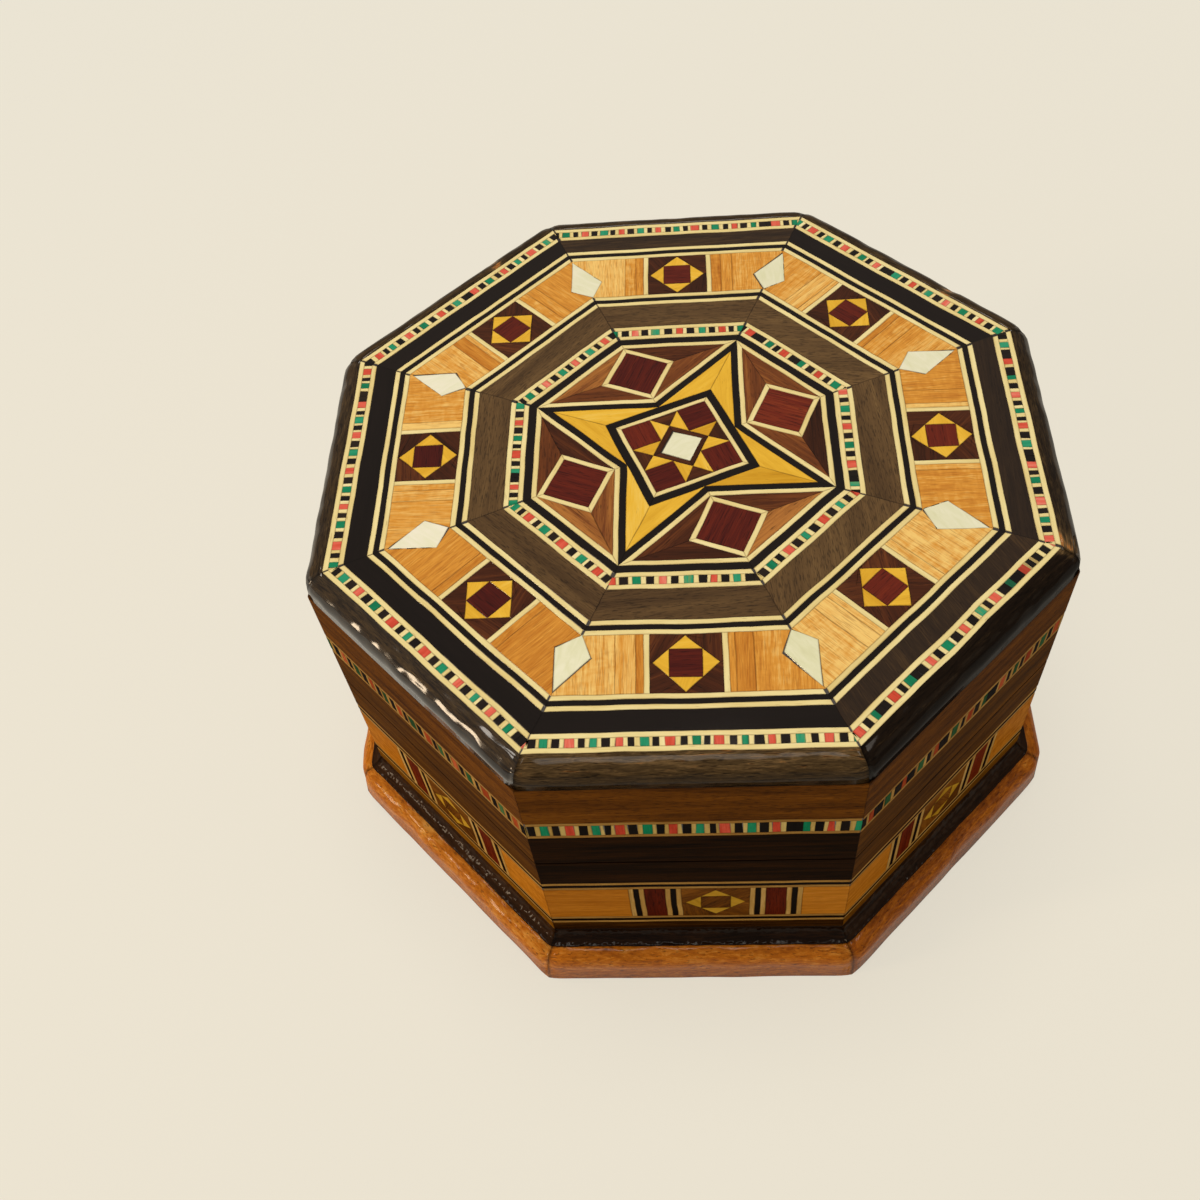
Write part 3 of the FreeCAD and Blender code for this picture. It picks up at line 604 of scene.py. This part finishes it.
def layVeneers(nodeName, style):
    draw = random.Random(nodeName)
    looksUp = nodeName.startswith(("top_", "star_", "petal_"))
    thickness = veneerThickness(nodeName, looksUp)
    stray = handWork["grainStray"]
    build = newBuild()
    for loop in outlines(nodeName, looksUp):
        middle = middleOf(loop)
        side = sideOf(middle)
        out, along = sideAxes(side)
        facing = axisUp if looksUp else out
        if style["gap"]:
            loop = shortened(loop, out, along, [draw.uniform(*style["gap"]) for _ in range(2)])
        cuts = plankLoops(loop, along, draw) if style["planks"] else [loop]
        for piece in cuts:
            longest = longestEdge(piece)
            axis = {"along": along, "radial": out, "upright": axisUp, "longest": longest,
                    "free": turnedAxis(along, facing, draw.uniform(0, 180))}[style["grain"]]
            axis = turnedAxis(axis, facing, ofSide(style["turns"], side) + draw.uniform(-stray, stray))
            tone = ofSide(style["tones"], side)
            tone += draw.uniform(-0.5, 0.5) * style["spread"]
            if abs(longest.z) > 0.5:
                tone += style["uprightTone"]
            # The paler foot is painted light, lifting the shade that falls at the foot of the side
            footHigh, footTone = style["foot"]   # below this height the band is paler
            if middle.z < footHigh:
                tone += footTone
            layVeneer(build, piece, facing, thickness, axis, tone, draw.random(), draw.random())
    return finishNode(nodeName, "_veneer", build, [wood[style["wood"]]])


for nodeName, style in veneers.items():
    layVeneers(nodeName, {**plainVeneer, **style})
print("veneers laid:", len(veneers))


# The mosaic strips: sawn rods in the order black, cream, red, cream, black, cream, green, cream

mosaic = {
    "order": ["blackRod", "cream", "redRod", "cream", "blackRod", "cream", "greenRod", "cream"],
    "lengths": {"blackRod": 0.98, "cream": 0.58, "redRod": 1.22, "greenRod": 1.1},   # mm along the strip
    "spread": 0.27, "slant": 0.07, "strayShare": 0.05, "startStray": 0.5, "shortest": 0.12,
    "dullness": {"top_mosaic_cores": 0.5, "lid_mosaic_cores": 0.25},
    "wornSide": 1, "worn": (9.5, 17.5),   # a rubbed and stained stretch of the outer strip, mm along its side
    "wornClean": (-0.9, -0.2), "wornTone": -0.6,
    "freshSide": 0,                       # the side whose rods have kept their colours
}


def layRods(nodeName):
    draw = random.Random(nodeName)
    looksUp = nodeName.startswith("top_")
    thickness = veneerThickness(nodeName, looksUp)
    kinds, order = list(mosaic["lengths"]), mosaic["order"]
    wornStart, wornStop = mosaic["worn"]
    build = newBuild()
    for loop in outlines(nodeName, looksUp):
        side = sideOf(middleOf(loop))
        out, along = sideAxes(side)
        facing, upright = (axisUp, out) if looksUp else (out, axisUp)
        # Off the front the rods take the darker side copies: partly aged, partly painted shade
        agedAndShaded = not looksUp and side != mosaic["freshSide"]
        places = [each.dot(along) for each in loop]
        place = min(places) - draw.uniform(0, mosaic["startStray"])
        step = draw.randrange(len(order))
        while place < max(places):
            kind = order[step % len(order)]
            if draw.random() < mosaic["strayShare"]:
                kind = kind.replace("cream", "blackRod")
            stop = place + mosaic["lengths"][kind] * (1 + draw.uniform(-1, 1) * mosaic["spread"])
            lean = along + upright * draw.uniform(-1, 1) * mosaic["slant"]
            offset = (lean - along).dot(loop[0])
            rod = clipped(clipped(loop, lean, stop + offset), -along, -place)
            if len(rod) > 2 and max(each.dot(along) for each in rod) - place > mosaic["shortest"]:
                tone = mosaic["dullness"][nodeName] + draw.uniform(-0.5, 0.5)
                clean = 1.0
                if looksUp and side == mosaic["wornSide"] and wornStart < place < wornStop:
                    clean = draw.uniform(*mosaic["wornClean"])
                    tone += mosaic["wornTone"]
                    kind = draw.choice((kind, "blackRod"))
                paint = kinds.index(kind) + (len(kinds) if agedAndShaded else 0)
                layVeneer(build, rod, facing, thickness, upright, tone, draw.random(), draw.random(), paint,
                          clean)
            place = stop
            step += 1
    endings = [""] if looksUp else ["Fresh", "Side"]
    materials = [wood[each + ending] for ending in endings for each in kinds]
    return finishNode(nodeName, "_rods", build, materials)


for nodeName in mosaic["dullness"]:
    layRods(nodeName)
print("mosaic rods laid")


# Mother of pearl: thin slips of shell, ground flat. It gives a pale green-ivory glow in soft layers.

pearl = {
    "ramp": [(0, "#cfd0a2"), (0.4, "#e2e4bd"), (0.7, "#eff0d4"), (1, "#f8f6e4")],
    "layerMm": (6.0, 1.4, 1.0), "layerBend": 1.6, "cloudMm": 3.0, "bump": (0.4, 0.02),
    "start": -0.12, "layerShare": 0.7, "cloudShare": 0.35, "toneShare": 0.5,
    "stain": (0.55, "#5a4424"), "stainEnd": 0.7, "iridescenceNm": 380, "filmIor": 1.53, "handCut": 0.25,
}


def pearlShell():
    made, tree = newMaterial("motherOfPearl")
    grain, tone, _, edge = readCut(tree)
    layers = noiseField(tree, stretched(tree, grain, *pearl["layerMm"]), 1.0, 3.0, pearl["layerBend"])
    clouds = noiseField(tree, grain, pearl["cloudMm"])
    place = summed(tree, pearl["start"], (layers, pearl["layerShare"]), (clouds, pearl["cloudShare"]),
                   (tone, pearl["toneShare"]))
    stain, stainColor = pearl["stain"]
    dirt = ranged(tree, edge, stain, 0, 0, pearl["stainEnd"])
    weight, coatRough, coatIor = lacquer["top"][:3]
    finishMaterial(tree, {
        "Base Color": tinted(tree, dirt, rampColor(tree, place, pearl["ramp"]), stainColor),
        "Roughness": 0.28, "Normal": bumped(tree, layers, *pearl["bump"]), "Specular IOR Level": 0.6,
        "Thin Film Thickness": pearl["iridescenceNm"], "Thin Film IOR": pearl["filmIor"],
        "Coat Weight": weight, "Coat Roughness": coatRough, "Coat IOR": coatIor})
    return made


def layPearl(nodeName):
    draw = random.Random(nodeName)
    stray = pearl["handCut"]
    build = newBuild()
    for loop in outlines(nodeName, True):
        along = sideAxes(sideOf(middleOf(loop)))[1]
        axis = turnedAxis(along, axisUp, draw.uniform(0, 180))
        # Hand-cut kites differ by a few tenths of a millimetre
        loop = [each + Vector((draw.uniform(-stray, stray), draw.uniform(-stray, stray), 0)) for each in loop]
        layVeneer(build, loop, axisUp, veneerThickness(nodeName, True), axis, draw.random(), draw.random(),
                  draw.random())
    return finishNode(nodeName, "_shell", build, [pearlShell()])


layPearl("pearl_inlays")
print("pearl laid")


# Dark glue and filler under the veneers, seen only as thin lines between them

filler = {"sunk": 0.06, "rim": 0.15, "gritMm": 0.4, "ramp": [(0.3, "#150e09"), (0.8, "#2b1c10")],
          "slot": "ebonised_wood"}


def fillerMaterial():
    made, tree = newMaterial("darkHideGlue")
    grit = noiseField(tree, objectPlace(tree), filler["gritMm"] * mm)
    finishMaterial(tree, {"Base Color": rampColor(tree, grit, filler["ramp"]), "Roughness": 0.5,
                          "Coat Weight": 0.6, "Coat Roughness": 0.15})
    return made


glue = fillerMaterial()


def octagonLoop(half, z):
    corners = []
    for side in range(sideCount):
        out, along = sideAxes(side)
        corners.append((out + along * mitre) * half + axisUp * z)
    return corners


def layFiller(name, body, rings, solid=True):
    # rings are (half width, height), from the foot upwards; a hollow one closes on itself
    build = newBuild()
    numbers = [addPoints(build, octagonLoop(half, z)) for half, z in rings]
    for low, high in zip(numbers, numbers[1:]):
        addBridge(build, low, high)
    if solid:
        addFace(build, numbers[0][::-1])
        addFace(build, numbers[-1])
    else:
        addBridge(build, numbers[-1], numbers[0])
    return finishPiece(name, build, [glue], body)


topLow, topHigh = (each.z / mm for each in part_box("top_dark_band"))
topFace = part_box("top_cream_lines")[1].x / mm - filler["sunk"]
layFiller("top_glue_bed", "lid", [(topFace, topLow + filler["sunk"]), (topFace, topHigh - filler["sunk"])])
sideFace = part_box("lid_dark_bands")[1].x / mm - filler["sunk"]
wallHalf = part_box("lid_wall_right")[1].x / mm
for name, body, low, high in (("lid_side_glue", "lid", "lid_dark_bands", "lid_walnut_bands"),
                              ("body_side_glue", "box", "body_dark_bands", "body_dark_bands")):
    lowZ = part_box(low)[0].z / mm + filler["rim"]
    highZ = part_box(high)[1].z / mm - filler["rim"]
    layFiller(name, body, [(wallHalf, lowZ), (sideFace, lowZ), (sideFace, highZ), (wallHalf, highZ)], False)
print("glue bed laid")


# Mouldings: the frame's own profile run along each side, mitred, with worn and chipped edges

# chips: side, share along it, depth and reach in mm. seat is the share of the wear at the lower outer edge,
# shade darkens the foot of a length, and ease is what rubbing took off its corners.
mouldings = {
    "lid_border": {
        "wood": "border", "tones": [0.64, 0.05, 0.3, 0.4, 0.4, 0.4, 0.4, 0.35],
        "gloss": [0.1, 0.1, 0.4, 0.4, 0.4, 0.4, 0.6, 1.0],
        "wear": [0.14, 0.1, 0.14, 0.14, 0.14, 0.14, 0.2, 0.25], "wearLength": 3.4, "seat": 0, "shade": 0.4,
        "ease": 0.55, "easeReach": 2.0,
        "chips": [(1, 0.985, 0.6, 1.6), (2, -0.93, 0.9, 2.6), (3, -0.4, 0.4, 1.5), (5, -0.4, 0.4, 1.5)]},
    "cove_moulding": {
        "wood": "cove", "tones": [0.2, 0.4, 0.4, 0.4, 0.4, 0.4, 0.5, 0.6], "gloss": 0.3, "wear": 0.1,
        "wearLength": 1.6, "seat": 1, "shade": 0, "ease": 0.2, "easeReach": 1.5, "chips": []},
    "plinth_moulding": {
        "wood": "plinth", "tones": [0.6, 0.2, 0.3, 0.5, 0.5, 0.6, 0.65, 0.75], "gloss": 0.7, "wear": 0.5,
        "wearLength": 6.0, "seat": 1, "shade": 0.15, "ease": 0.9, "easeReach": 2.5,
        "chips": [(1, 0.9, 0.5, 1.5), (7, -0.3, 0.4, 1.5)]},
}
moulding = {"step": 0.8, "endLimit": 0.98, "probe": 2, "wearBias": 0.3, "chipRise": 0.8, "chipBias": 0.7,
            "chipRate": 1.7, "glueReach": 0.5, "seedReach": 90}


def profileOf(nodeName):
    # (out, height) points round the mitred end of a length, from its inner foot outwards and up
    mesh = frame["nodes"][nodeName].data
    out, along = sideAxes(0)
    end = (along - out * mitre).normalized()
    ring = set()
    for face in mesh.polygons:
        within = face.center - end * moulding["probe"] * mm
        if face.normal.dot(end) < moulding["endLimit"] or sideOf(within) != 0:
            continue
        corners = [mesh.vertices[each].co / mm for each in face.vertices]
        ring |= {(round(each.dot(out), 3), round(each.z, 3)) for each in corners}
    foot = (min(each[0] for each in ring), min(each[1] for each in ring))
    ring.discard(foot)
    return [foot, *sorted(ring, key=lambda each: math.atan2(each[1] - foot[1], each[0] - foot[0]))]


def wornAway(style, profile, index, side, share, flat):
    # How far wear, chips and rubbed corners take a point in, and how bare a chip leaves its wood
    reach, height = profile[index]
    rubbed = moulding["wearBias"] + noise.noise(flat / style["wearLength"])
    sink = ofSide(style["wear"], side) * max(0, rubbed)
    if index == 1:
        sink *= style["seat"]
    bare = 0
    for chipSide, chipShare, depth, chipReach in style["chips"]:
        away = abs(share - chipShare) * reach * mitre + abs(height - profile[-2][1]) * moulding["chipRise"]
        if chipSide == side and away < chipReach:
            bare = (1 - away / chipReach) * (moulding["chipBias"] + noise.noise(flat * moulding["chipRate"]))
            sink += depth * bare
    corner = max(0, 1 - (1 - abs(share)) * reach * mitre / style["easeReach"])
    return sink + style["ease"] * corner ** 2, bare


def runMoulding(nodeName, style):
    draw = random.Random(nodeName)
    profile = profileOf(nodeName)
    last = len(profile) - 1
    heart = Vector([sum(axis) / len(profile) for axis in zip(*profile)])
    girth = [0.0]
    for here, following in zip(profile, profile[1:]):
        girth.append(girth[-1] + math.dist(here, following))
    footHigh, topReach, topHigh = profile[0][1], *profile[-1]
    count = math.ceil(2 * topReach * mitre / moulding["step"])
    build = newBuild()
    for side in range(sideCount):
        out, along = sideAxes(side)
        seed = draw.random() * moulding["seedReach"]
        gloss = ofSide(style["gloss"], side)
        rings = []
        for step in range(count + 1):
            share = 2 * step / count - 1
            points, grain, cut = [], [], []
            for index, (reach, height) in enumerate(profile):
                flat = out * reach + along * reach * mitre * share + axisUp * height
                sink, bare = wornAway(style, profile, index, side, share, flat)
                inward = (heart - Vector((reach, height))).normalized()
                drawn = reach + min(0, inward.x) * sink
                rise = height + min(0, inward.y) * sink
                spot = out * drawn + along * drawn * mitre * share + axisUp * rise
                # The inner foot and top stay where they are
                if index == 0:
                    spot = flat
                elif index == last:
                    spot = moved(flat, axisUp, True)
                points.append(spot)
                grain.append(Vector((flat.dot(along) + seed, girth[index] + seed, seed)))
                # The foot of a length is darker, a painted shade, and bare wood is pale
                climb = (height - footHigh) / (topHigh - footHigh)
                tone = ofSide(style["tones"], side) + bare - style["shade"] * (1 - climb)
                room = (1 - abs(share)) * reach * mitre
                cut.append((tone, gloss, min(1, room / moulding["glueReach"])))
            rings.append(addPoints(build, points, grain, cut))
        for low, high in zip(rings, rings[1:]):
            for index in range(len(profile)):
                addFace(build, [low[index - 1], low[index], high[index], high[index - 1]], 0, index > 0)
        addFace(build, rings[0])
        addFace(build, rings[-1][::-1])
    return finishNode(nodeName, "_lengths", build, [wood[style["wood"]]])


for nodeName, style in mouldings.items():
    runMoulding(nodeName, style)
print("mouldings run:", len(mouldings))


# Velvet over card: crowned pads and eight wall panels in the box and in the lid

velvet = {"ramp": [(0.3, "#2a0509"), (0.52, "#5e0f1c"), (0.75, "#7d1a2a")], "napMm": 9.0, "napShare": 0.4,
          "pileMm": 0.35, "pileShare": 0.6, "pileBump": (0.7, 0.15), "sheen": 0.55, "sheenColor": "#c05060"}


def velvetMaterial():
    # Short pile that lies in brushed patches: deep red, with paler patches painted in as the sheen of pile
    # seen along its lay
    made, tree = newMaterial("crimsonVelvet")
    place = stored(tree, "grain")
    # The nap's paler patches are painted sheen of the pile
    napSheen = noiseField(tree, place, velvet["napMm"], 3.0, 1.0)
    pile = noiseField(tree, place, velvet["pileMm"])
    mixed = summed(tree, 0.0, (pile, velvet["pileShare"]), (napSheen, velvet["napShare"]))
    finishMaterial(tree, {
        "Base Color": rampColor(tree, mixed, velvet["ramp"]), "Roughness": 0.95, "Specular IOR Level": 0.1,
        "Normal": bumped(tree, pile, *velvet["pileBump"]), "Sheen Weight": velvet["sheen"],
        "Sheen Roughness": 0.4, "Sheen Tint": linear(velvet["sheenColor"])})
    return made


cloth = velvetMaterial()
# foot, roll and crown are shares of the thickness, dents are shares of it too
pad = {"foot": 0.45, "roll": 0.35, "rollTurns": (0.5, 1.0, 1.5), "edge": 0.9, "crownStart": 0.8, "crown": 0.2,
       "crownShares": (0.93, 0.8, 0.6, 0.4, 0.2, 0.05), "parts": 12, "dent": 0.06, "dentMm": 7,
       "dentPlace": 5}


def layPad(nodeName, looksUp):
    # A padded octagon: flat against its board, rolled over at the edge and crowned in the middle
    low, high = boxMm(nodeName)
    half, thick = high.x, high.z - low.z
    back, hand = (low.z, 1) if looksUp else (high.z, -1)
    steps = [(half, 0), (half, pad["foot"])]
    steps += [(half - pad["edge"] * (1 - math.cos(turn)), pad["foot"] + pad["roll"] * math.sin(turn))
              for turn in pad["rollTurns"]]
    steps += [(half * share, pad["crownStart"] + pad["crown"] * (1 - share ** 2))
              for share in pad["crownShares"]]
    build = newBuild()
    rings = []
    for reach, share in steps:
        points = []
        for corner, following in pairs(octagonLoop(reach, 0)):
            points += [corner.lerp(following, part / pad["parts"]) for part in range(pad["parts"])]
        dentReach = pad["dent"] if share > 0.5 else 0
        dents = [dentReach * max(0, noise.noise(each / pad["dentMm"] + axisUp * pad["dentPlace"]))
                 for each in points]
        points = [each + axisUp * (back + hand * thick * (share - dent)) for each, dent in zip(points, dents)]
        rings.append(addPoints(build, points))
    for first, second in zip(rings, rings[1:]):
        for index in range(len(first)):
            corners = [first[index - 1], first[index], second[index], second[index - 1]]
            addFace(build, corners[::hand], 0, True)
    addFace(build, rings[-1][::hand], 0, True)
    addFace(build, rings[0][::-hand])
    piece = finishNode(nodeName, "_velvet", build, [cloth])


lining = {"shares": [-1, -0.985, -0.95, -0.88, -0.7, -0.4, 0, 0.4, 0.7, 0.88, 0.95, 0.985, 1], "thick": 1.5,
          "foot": 0.45, "crown": 0.55, "crownPower": 14, "dent": 0.12, "dentMm": 8, "dentSpread": 0.4}


def layLining(nodeName):
    # Eight padded panels that meet in a crease at each corner
    low, high = boxMm(nodeName)
    outer = high.x
    shares, power = lining["shares"], lining["crownPower"]
    build = newBuild()
    for side in range(sideCount):
        out, along = sideAxes(side)
        rows = []
        for tall in shares:
            z = (low.z + high.z) / 2 + (high.z - low.z) / 2 * tall
            points = []
            for wide in shares:
                crown = (1 - abs(wide) ** power) * (1 - abs(tall) ** power)
                place = out * outer + along * outer * wide * lining["dentSpread"] + axisUp * z
                dent = lining["dent"] * max(0, noise.noise(place / lining["dentMm"]))
                reach = outer - lining["thick"] * (lining["foot"] + lining["crown"] * crown - dent * crown)
                points.append(out * reach + along * reach * mitre * wide + axisUp * z)
            rows.append(addPoints(build, points))
        backs = []
        for z in (low.z, high.z):
            points = [out * outer + along * outer * mitre * wide + axisUp * z for wide in shares]
            backs.append(addPoints(build, points))
        rows = [backs[0], *rows, backs[1]]
        for first, second in pairs(rows):
            for index in range(len(shares) - 1):
                addFace(build, [first[index + 1], first[index], second[index], second[index + 1]], 0, True)
        addFace(build, [row[0] for row in rows])
        addFace(build, [row[-1] for row in rows][::-1])
    piece = finishNode(nodeName, "_velvet", build, [cloth])


layPad("floor_pad", True)
layPad("lid_pad", False)
layLining("wall_lining")
layLining("lid_lining")
print("velvet laid")


# Brass hinge: cut and rolled strip with fine brushing and dull patches of tarnish

brassLook = {"ramp": [(0.35, "#8a6a2c"), (0.6, "#c79a45"), (0.8, "#dcb562")], "brushMm": (6, 0.12, 0.12),
             "tarnishMm": 3.5, "rough": (0.22, 0.42), "bump": (0.3, 0.02)}


def brassMaterial():
    made, tree = newMaterial("agedBrass")
    place = objectPlace(tree)
    brushing = noiseField(tree, stretched(tree, place, *(size * mm for size in brassLook["brushMm"])))
    tarnish = noiseField(tree, place, brassLook["tarnishMm"] * mm, 4.0)
    finishMaterial(tree, {
        "Base Color": rampColor(tree, tarnish, brassLook["ramp"]), "Metallic": 1.0,
        "Roughness": ranged(tree, brushing, *brassLook["rough"]),
        "Normal": bumped(tree, brushing, *brassLook["bump"])})
    return made


brass = brassMaterial()


def paintNode(nodeName, material):
    mesh = frame["nodes"][nodeName].data
    for index in range(len(mesh.materials)):
        mesh.materials[index] = material
    if not mesh.materials:
        mesh.materials.append(material)


for nodeName in ("hinge_leaf_body", "hinge_leaf_lid", "hinge_pin"):
    paintNode(nodeName, brass)

screws = {"headRadius": 1.05, "headThick": 0.8, "shankRadius": 0.45, "slotWidth": 0.3, "slotDepth": 0.45,
          "places": [(-8.0, 48.6), (8.0, 48.6)], "turns": [25, 130], "ease": 0.14, "corners": 32}


def addPrism(build, loop, low, high, easeLow=0, easeHigh=0):
    # An upright prism whose lower or upper rim can be eased
    levels = [(low, easeLow), (low + easeLow, 0), (high - easeHigh, 0), (high, easeHigh)]
    rings = []
    for z, ease in levels:
        rings.append(addPoints(build, [each + axisUp * z for each in inset(loop, axisUp, ease)]))
    for below, above in zip(rings, rings[1:]):
        addBridge(build, below, above)
    addFace(build, rings[-1])
    addFace(build, rings[0][::-1])


def driveScrews(nodeName, looksUp):
    # Slotted countersunk heads, flush with the leaf
    low, high = boxMm(nodeName)
    face, tip, inwards = (high.z, low.z, -1) if looksUp else (low.z, high.z, 1)
    seatZ = face + inwards * screws["headThick"]
    slotZ = face + inwards * screws["slotDepth"]
    turns = [2 * math.pi * corner / screws["corners"] for corner in range(screws["corners"])]
    rim = [Vector((math.cos(turn), math.sin(turn), 0)) for turn in turns]
    build = newBuild()
    for (x, y), degrees in zip(screws["places"], screws["turns"]):
        middle = Vector((x, y, 0))
        across = turnedAxis(Vector((1, 0, 0)), axisUp, degrees)
        head = [middle + each * screws["headRadius"] for each in rim]
        seat, half = middle.dot(across), screws["slotWidth"] / 2
        slot = clipped(clipped(head, across, seat + half), -across, -seat + half)
        parts = [(clipped(head, across, seat - half), face, screws["ease"]),
                 (clipped(head, -across, -seat - half), face, screws["ease"]), (slot, slotZ, 0)]
        for loop, level, ease in parts:
            eases = (0, ease) if looksUp else (ease, 0)
            addPrism(build, loop, min(level, seatZ), max(level, seatZ), *eases)
        shank = [middle + each * screws["shankRadius"] for each in rim]
        addPrism(build, shank, min(tip, seatZ), max(tip, seatZ))
    finishNode(nodeName, "_slotted", build, [brass])


driveScrews("hinge_screws_body", True)
driveScrews("hinge_screws_lid", False)
print("hinge fitted")


# Carcass: planed beech staves, bare at the rim and inside the seam

carcass = {"ramp": [(0, "#5d3515"), (0.45, "#8a5527"), (0.75, "#a86f3a"), (1, "#c08a52")],
           "streakMm": (40, 2.5), "fleckMm": (2.2, 0.3), "bend": 0.4, "start": -0.3, "streakShare": 1.1,
           "fleckShare": 0.5, "rough": (0.5, 0.75), "bump": (0.4, 0.04)}


def carcassMaterial(name, perSide):
    # Plain brown beech with short darker flecks, matt from the plane, grain along each stave
    made, tree = newMaterial(name)
    place = objectPlace(tree)
    if perSide:
        x, y, _ = addNode(tree, "ShaderNodeSeparateXYZ", {"Vector": place}).outputs
        turn = calculated(tree, "ARCTAN2", y, x)
        turn = calculated(tree, "ADD", turn, sideTurn / 2)
        turn = calculated(tree, "SNAP", turn, sideTurn)
        turn = calculated(tree, "SUBTRACT", math.pi / 2, turn)
        place = addNode(tree, "ShaderNodeVectorRotate", {"Vector": place, "Angle": turn},
                        rotation_type="Z_AXIS").outputs[0]
    fields = []
    for lengthMm, widthMm in (carcass["streakMm"], carcass["fleckMm"]):
        spaced = stretched(tree, place, lengthMm * mm, widthMm * mm, widthMm * mm)
        fields.append(noiseField(tree, spaced, 1.0, 3.0, carcass["bend"]))
    streaks, flecks = fields
    mixed = summed(tree, carcass["start"], (flecks, carcass["fleckShare"]), (streaks, carcass["streakShare"]))
    finishMaterial(tree, {
        "Base Color": rampColor(tree, mixed, carcass["ramp"]), "Specular IOR Level": 0.35,
        "Roughness": ranged(tree, flecks, *carcass["rough"]),
        "Normal": bumped(tree, flecks, *carcass["bump"])})
    return made


staveWood = carcassMaterial("beechStaves", True)
boardWood = carcassMaterial("beechBoards", False)
for nodeName in frame["nodes"]:
    if nodeName.startswith(("body_wall_", "lid_wall_")):
        paintNode(nodeName, staveWood)
    elif nodeName in ("base_board", "lid_board"):
        paintNode(nodeName, boardWood)
print("carcass painted")


# The floor, the light and the camera

camera = {"eye": (2.13, -125.4, 197.92), "forward": (-0.07877, 0.57911, -0.81144),
          "up": (0.03201, 0.81501, 0.57856), "lens": 38.25, "clip": (10, 20000)}   # eye and clip in mm


def placeCamera():
    data = bpy.data.cameras.new("camera")
    data.lens = camera["lens"]
    data.clip_start, data.clip_end = (each * mm for each in camera["clip"])
    made = addObject("camera", data)
    forward = Vector(camera["forward"]).normalized()
    right = forward.cross(Vector(camera["up"])).normalized()
    turn = Matrix((right, right.cross(forward), -forward)).transposed()
    made.matrix_world = Matrix.Translation(Vector(camera["eye"]) * mm) @ turn.to_4x4()
    bpy.context.scene.camera = made


stage = {"floor": "#ede7d7", "floorReach": 9000.0, "evenShare": 0.78, "fade": (130.0, 520.0),
         "world": "#fff6ea", "worldStrength": 0.3}
lamps = [   # name, place in mm, aim in mm, width and height in mm, watts, colour
    ("keySoftbox", (-40, 70, 700), (0, 0, 40), (320, 320), 2.7, "#fff6ea"),
    ("leftLamp", (-560, -180, 230), (0, -20, 50), (70, 240), 1.15, "#ffe4c0"),
    ("rightFill", (520, -200, 380), (0, 0, 30), (240, 240), 0.12, "#ffe0b8"),
]


def floorMaterial():
    made, tree = newMaterial("paleFloor")
    lit = addNode(tree, "ShaderNodeBsdfPrincipled", {
        "Base Color": linear(stage["floor"]), "Roughness": 0.9, "Specular IOR Level": 0.1})
    plain = addNode(tree, "ShaderNodeEmission", {"Color": linear(stage["floor"])})
    rays = addNode(tree, "ShaderNodeLightPath").outputs
    seen = rays["Is Camera Ray"]
    for other in ("Is Glossy Ray", "Is Transmission Ray"):
        seen = calculated(tree, "MAXIMUM", seen, rays[other])
    # Round the box the floor takes its shadow; further out it is as even as the walls
    away = addNode(tree, "ShaderNodeVectorMath", {0: objectPlace(tree)}, operation="LENGTH").outputs["Value"]
    even = ranged(tree, away, stage["evenShare"], 1, *(each * mm for each in stage["fade"]))
    share = calculated(tree, "MULTIPLY", seen, even)
    mixed = addNode(tree, "ShaderNodeMixShader", {0: share, 1: lit.outputs[0], 2: plain.outputs[0]})
    addNode(tree, "ShaderNodeOutputMaterial", {"Surface": mixed.outputs[0]})
    return made


def layFloor():
    reach = stage["floorReach"] * mm
    mesh = bpy.data.meshes.new("floor")
    mesh.from_pydata([(-reach, -reach, 0), (reach, -reach, 0), (reach, reach, 0), (-reach, reach, 0)], [],
                     [(0, 1, 2, 3)])
    mesh.materials.append(floorMaterial())
    floor = addObject("floor", mesh)


def setWorld():
    # The studio's walls: pale to the camera, dim in what they send to the box
    world = bpy.data.worlds.new("studio")
    world.use_nodes = True
    tree = world.node_tree
    tree.nodes.clear()
    dim = addNode(tree, "ShaderNodeBackground", {
        "Color": linear(stage["world"]), "Strength": stage["worldStrength"]})
    pale = addNode(tree, "ShaderNodeBackground", {"Color": linear(stage["floor"])})
    seen = addNode(tree, "ShaderNodeLightPath").outputs["Is Camera Ray"]
    mixed = addNode(tree, "ShaderNodeMixShader", {0: seen, 1: dim.outputs[0], 2: pale.outputs[0]})
    addNode(tree, "ShaderNodeOutputWorld", {"Surface": mixed.outputs[0]})
    bpy.context.scene.world = world


def hangLamps():
    for name, place, aim, (width, height), watts, hexColor in lamps:
        data = bpy.data.lights.new(name, "AREA")
        data.shape, data.size, data.size_y = "RECTANGLE", width * mm, height * mm
        data.energy, data.color = watts, linear(hexColor)[:3]
        lamp = addObject(name, data)
        lamp.location = Vector(place) * mm
        lamp.rotation_euler = (Vector(aim) - Vector(place)).to_track_quat("-Z", "Y").to_euler()


placeCamera()
layFloor()
setWorld()
hangLamps()
bpy.context.scene.view_settings.view_transform = "Standard"
print("stage set")
